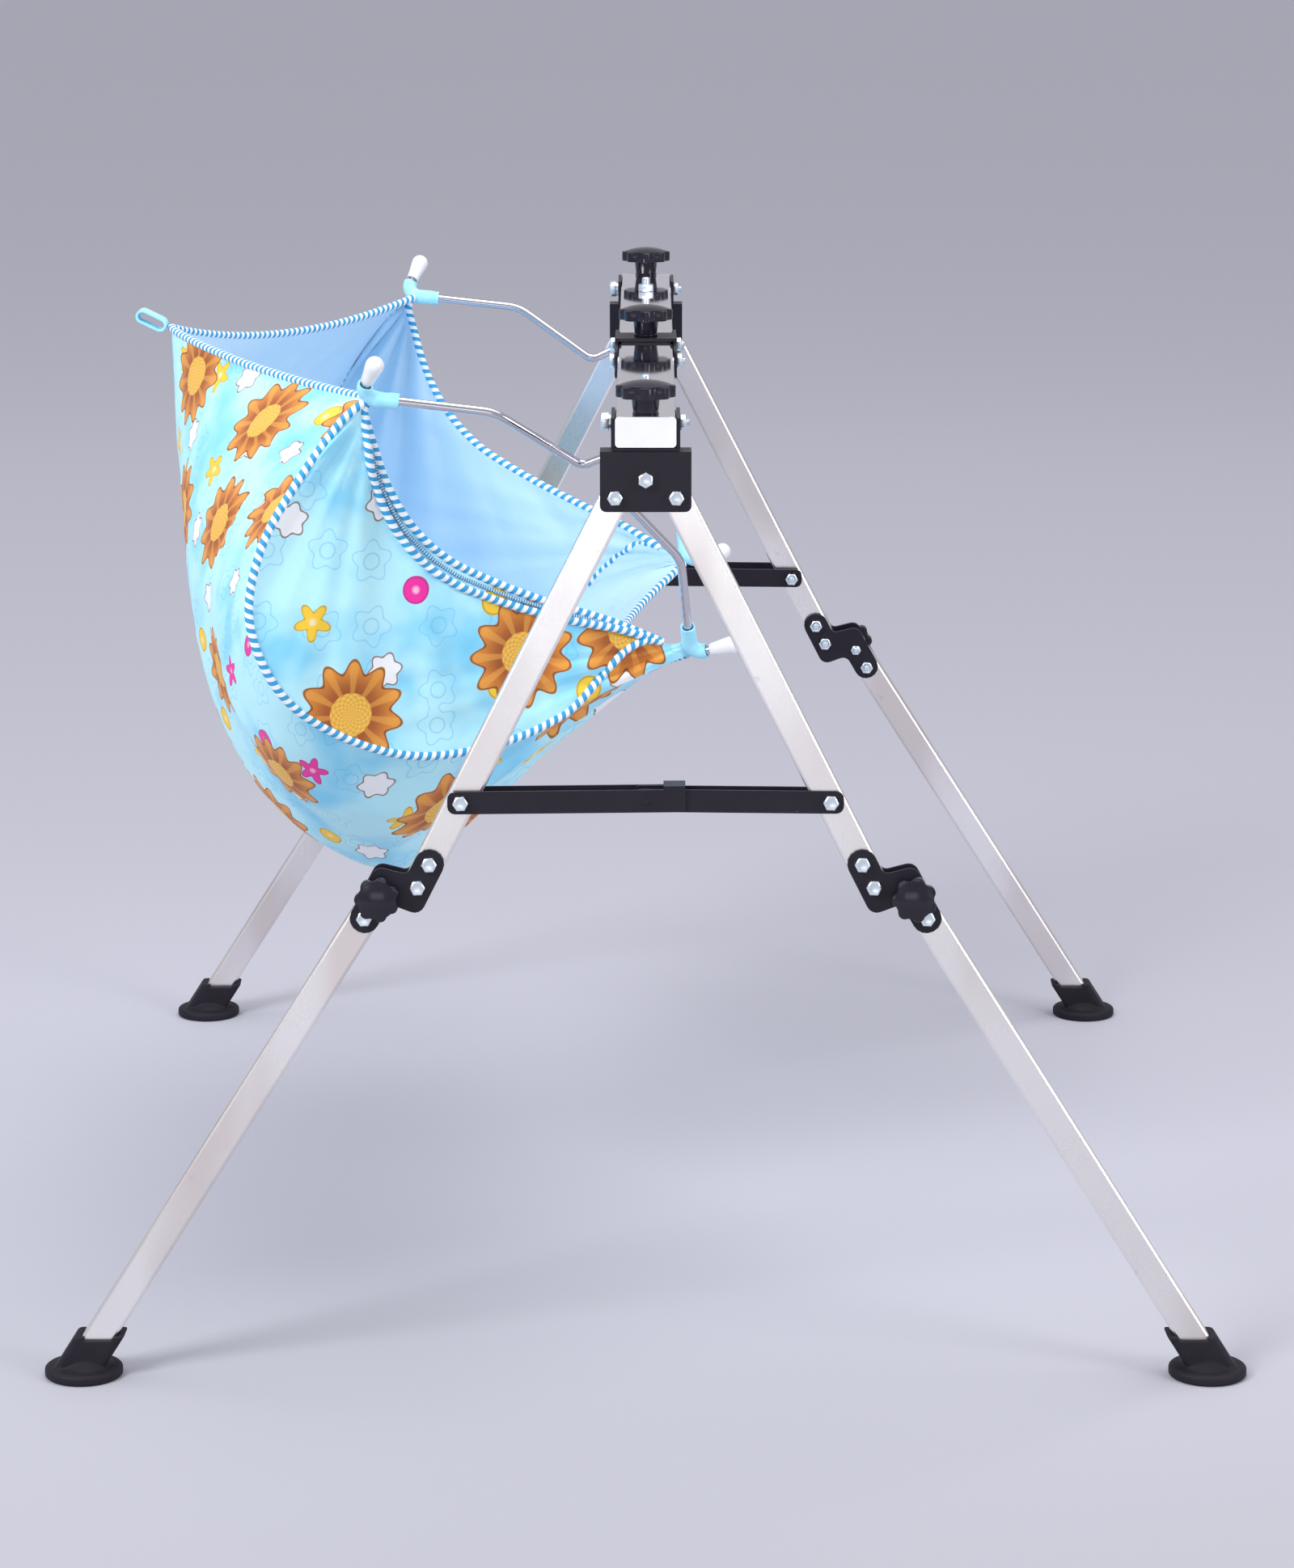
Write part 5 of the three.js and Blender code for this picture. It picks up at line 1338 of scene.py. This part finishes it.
class CRADLE_OT_cloth(bpy.types.Operator):
    """Adds the sewn cloth cradle with its lining, wire sleeves, piping, zip and pull loop"""

    bl_idname = "cradle.cloth"
    bl_label = "Cloth"

    def execute(self, context):
        sizes = context.scene.cradle_sizes
        colours = context.scene.cradle_colours
        bag = self.bag(sizes)
        bag.data.materials.append(finish(printed_cotton, colours))
        bag.data.materials.append(finish(lining_cotton, colours))
        apply_modifier(bag, "SOLIDIFY", thickness=sizes.cloth_thickness, offset=-1, material_offset=1,
                       material_offset_rim=0)
        for face in bag.data.polygons:
            face.use_smooth = True
        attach(bag, "cradle")
        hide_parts("cradle_cloth")
        plain = finish(plain_cotton, colours)
        trim = self.sleeves(plain, sizes) + self.piping(sizes, colours) + [self.loop(plain)]
        return {"FINISHED"}

    def bag(self, sizes):
        """One grid from rim to rim along the stand, with a grid for each end sewn to it

        The print runs in metres round the long grid, and the ends take it from elsewhere on the cloth.
        """
        columns = 132
        rows = 96
        end_rows = 26
        points = []
        keys = {}
        faces = []
        marks = []
        stretch, across, up = END_PRINT
        arc = [0.0]
        for step in range(columns):
            first, second = (along_section(MIDDLE_SECTION, place / columns) for place in (step, step + 1))
            arc.append(arc[-1] + (second - first).length)

        def vertex(key, make):
            if key not in keys:
                keys[key] = len(points)
                points.append(make())
            return keys[key]

        def long_vertex(i, j):
            return vertex(("long", i, j), lambda: long_point(i / columns, 2 * j / rows - 1, sizes))

        def end_vertex(i, k, end):
            if k == 0 or i == 0:
                return long_vertex(i, 0 if end < 0 else rows)
            return vertex((end, i, k), lambda: end_point(i / columns, k / end_rows, end, sizes))

        def quad(corners, places):
            """Adds a face with its normal outward, without the corners that fall together"""
            kept = {}
            for corner, place in zip(corners, places):
                kept.setdefault(corner, place)
            if len(kept) > 2:
                faces.append(tuple(reversed(kept)))
                marks.extend(reversed(kept.values()))

        for i in range(columns):
            for j in range(rows):
                cells = ((i, j), (i + 1, j), (i + 1, j + 1), (i, j + 1))
                corners = [long_vertex(*cell) for cell in cells]
                quad(corners, [(arc[cell[0]], points[index].y) for cell, index in zip(cells, corners)])
            for k in range(end_rows):
                for end in (-1, 1):
                    here, there = (k + 1, k) if end < 0 else (k, k + 1)
                    cells = ((i, here), (i + 1, here), (i + 1, there), (i, there))
                    corners = [end_vertex(*cell, end) for cell in cells]
                    quad(corners, [
                        (points[c].x * stretch + across * end, points[c].z + up) for c in corners])
        return mesh_piece("sewn_cloth", points, faces, marks)

    def sleeves(self, plain, sizes):
        """Fabric sleeves that hold the wires at the four corners"""
        made = []
        for end, end_name in ENDS:
            for side in SIDES:
                hook, elbow, tip = wire_corners(side, end, "hook", "elbow", "tip")
                direction = (elbow - hook).normalized()
                points = bent_path([elbow, hook, tip], [0, sizes.wire_bend, 0], 10)
                points[0] = hook + direction * SLEEVE_ABOVE
                points[-1] = hook + (tip - hook).normalized() * SLEEVE_BEYOND
                run = [hook + direction * (SLEEVE_TOP - SLEEVE_STEP * step) for step in range(4)]
                sleeve = tube(f"{end_name}_{side}_sleeve", run + points, SLEEVE_RADIUS, 24, closed_ends=False)
                for vertex in sleeve.data.vertices:
                    inward = (vertex.co - hook).cross(direction).cross(direction).normalized()
                    vertex.co -= noise.noise(vertex.co * 160) * RIPPLE * inward
                apply_modifier(sleeve, "SOLIDIFY", thickness=SLEEVE_CLOTH, offset=-1)
                dress(sleeve, plain, "cradle", "sky_fabric", smooth=60)
                made.append(sleeve)
        return made

    def piping(self, sizes, colours):
        """Striped piping on the seams and rims, and a zip along each end"""
        steps = 220
        made = []
        zips = []

        def add(name, points, radius, sides, material):
            piece = tube(name, points, radius, sides)
            made.append(dress(piece, material, "cradle", "sky_fabric", smooth=60))

        def striped(name, points):
            add(name, points, sizes.piping_radius, 12, finish(striped_piping, colours))

        for end, end_name in ENDS:
            seam_end = sizes.seam_end
            shares = [step / steps for step in range(2, steps) if step / steps <= seam_end]
            striped(f"{end_name}_seam_piping", [
                end_point(share, smooth_share(share, seam_end - SEAM_JOIN, seam_end), end, sizes)
                for share in shares])
            striped(f"{end_name}_rim_piping", [end_point(share, 1, end, sizes) for share in shares])
            raised = Vector((0, end * SECOND_RISE, 0))
            striped(f"{end_name}_second_piping", [
                end_point(share, 1 - SECOND_ROW * taper(share), end, sizes) + raised
                for share in shares[14:-6]])
            raised = Vector((0, end * ZIP_RISE, 0))
            zips.append((f"{end_name}_zip", [
                end_point(share, 1 - ZIP_ROW * taper(share), end, sizes) + raised
                for share in shares[28:] if share <= seam_end - ZIP_SHORT]))
        along = [(2 * step / steps - 1) * RIM_END for step in range(steps + 1)]
        for name, around in (("left_rim_piping", 0.0), ("right_rim_piping", 1.0)):
            striped(name, [long_point(around, place, sizes) for place in along])
        for name, points in zips:
            add(name, points, ZIP_RADIUS, 8, finish(zip_teeth))
        return made

    def loop(self, plain):
        """Folded pull loop on the middle of the high rim"""
        low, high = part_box("pull_loop")
        middle = (Vector(low) + Vector(high)) / 2
        reach = 14.2 * MM
        half = 5.2 * MM
        width = 20 * MM
        stitch = 2 * MM
        rounds = 16
        vertices = []
        for sign in (-1, 1):
            for step in range(rounds + 1):
                turn = sign * math.pi / 2 + math.pi * step / rounds
                x = sign * (reach - half) - half * math.cos(turn)
                vertices += [(x, y, half * math.sin(turn)) for y in (-width / 2, width / 2)]
        faces = []
        marks = []
        count = len(vertices) // 2
        for step in range(count):
            other = (step + 1) % count
            faces.append((2 * step, 2 * step + 1, 2 * other + 1, 2 * other))
            here, there = step * stitch, (step + 1) * stitch
            marks += [(here, 0), (here, width), (there, width), (there, 0)]
        piece = mesh_piece("folded_pull_loop", vertices, faces, marks)
        apply_modifier(piece, "SOLIDIFY", thickness=2.2 * MM, offset=0)
        apply_modifier(piece, "BEVEL", width=0.5 * MM, segments=2, limit_method="ANGLE")
        settle(piece, Matrix.Translation(middle) @ Matrix.Rotation(LOOP_TILT, 4, "Y"))
        return dress(piece, plain, "cradle", "sky_fabric", "pull_loop", smooth=50)


class CRADLE_PT_panel(bpy.types.Panel):
    """Lists the cradle's sizes, colours and building steps"""

    bl_idname = "CRADLE_PT_panel"
    bl_label = "Hanging cradle"
    bl_space_type = "VIEW_3D"
    bl_region_type = "UI"
    bl_category = "Cradle"

    def draw(self, context):
        for group in (context.scene.cradle_sizes, context.scene.cradle_colours):
            for name in group.__annotations__:
                self.layout.prop(group, name)
        for operator in OPERATORS:
            self.layout.operator(operator.bl_idname)


OPERATORS = (CRADLE_OT_stage, CRADLE_OT_metal, CRADLE_OT_knobs, CRADLE_OT_bolts, CRADLE_OT_feet,
             CRADLE_OT_hangers, CRADLE_OT_cloth)
CLASSES = (CradleSizes, CradleColours) + OPERATORS + (CRADLE_PT_panel,)


def register():
    for kind in CLASSES:
        bpy.utils.register_class(kind)
    bpy.types.Scene.cradle_sizes = bpy.props.PointerProperty(type=CradleSizes)
    bpy.types.Scene.cradle_colours = bpy.props.PointerProperty(type=CradleColours)


def unregister():
    del bpy.types.Scene.cradle_colours
    del bpy.types.Scene.cradle_sizes
    for kind in reversed(CLASSES):
        bpy.utils.unregister_class(kind)


def main():
    register()
    bpy.ops.cradle.stage()
    bpy.ops.cradle.metal()
    bpy.ops.cradle.knobs()
    bpy.ops.cradle.bolts()
    bpy.ops.cradle.feet()
    bpy.ops.cradle.hangers()
    bpy.ops.cradle.cloth()


if __name__ == "__main__":
    main()
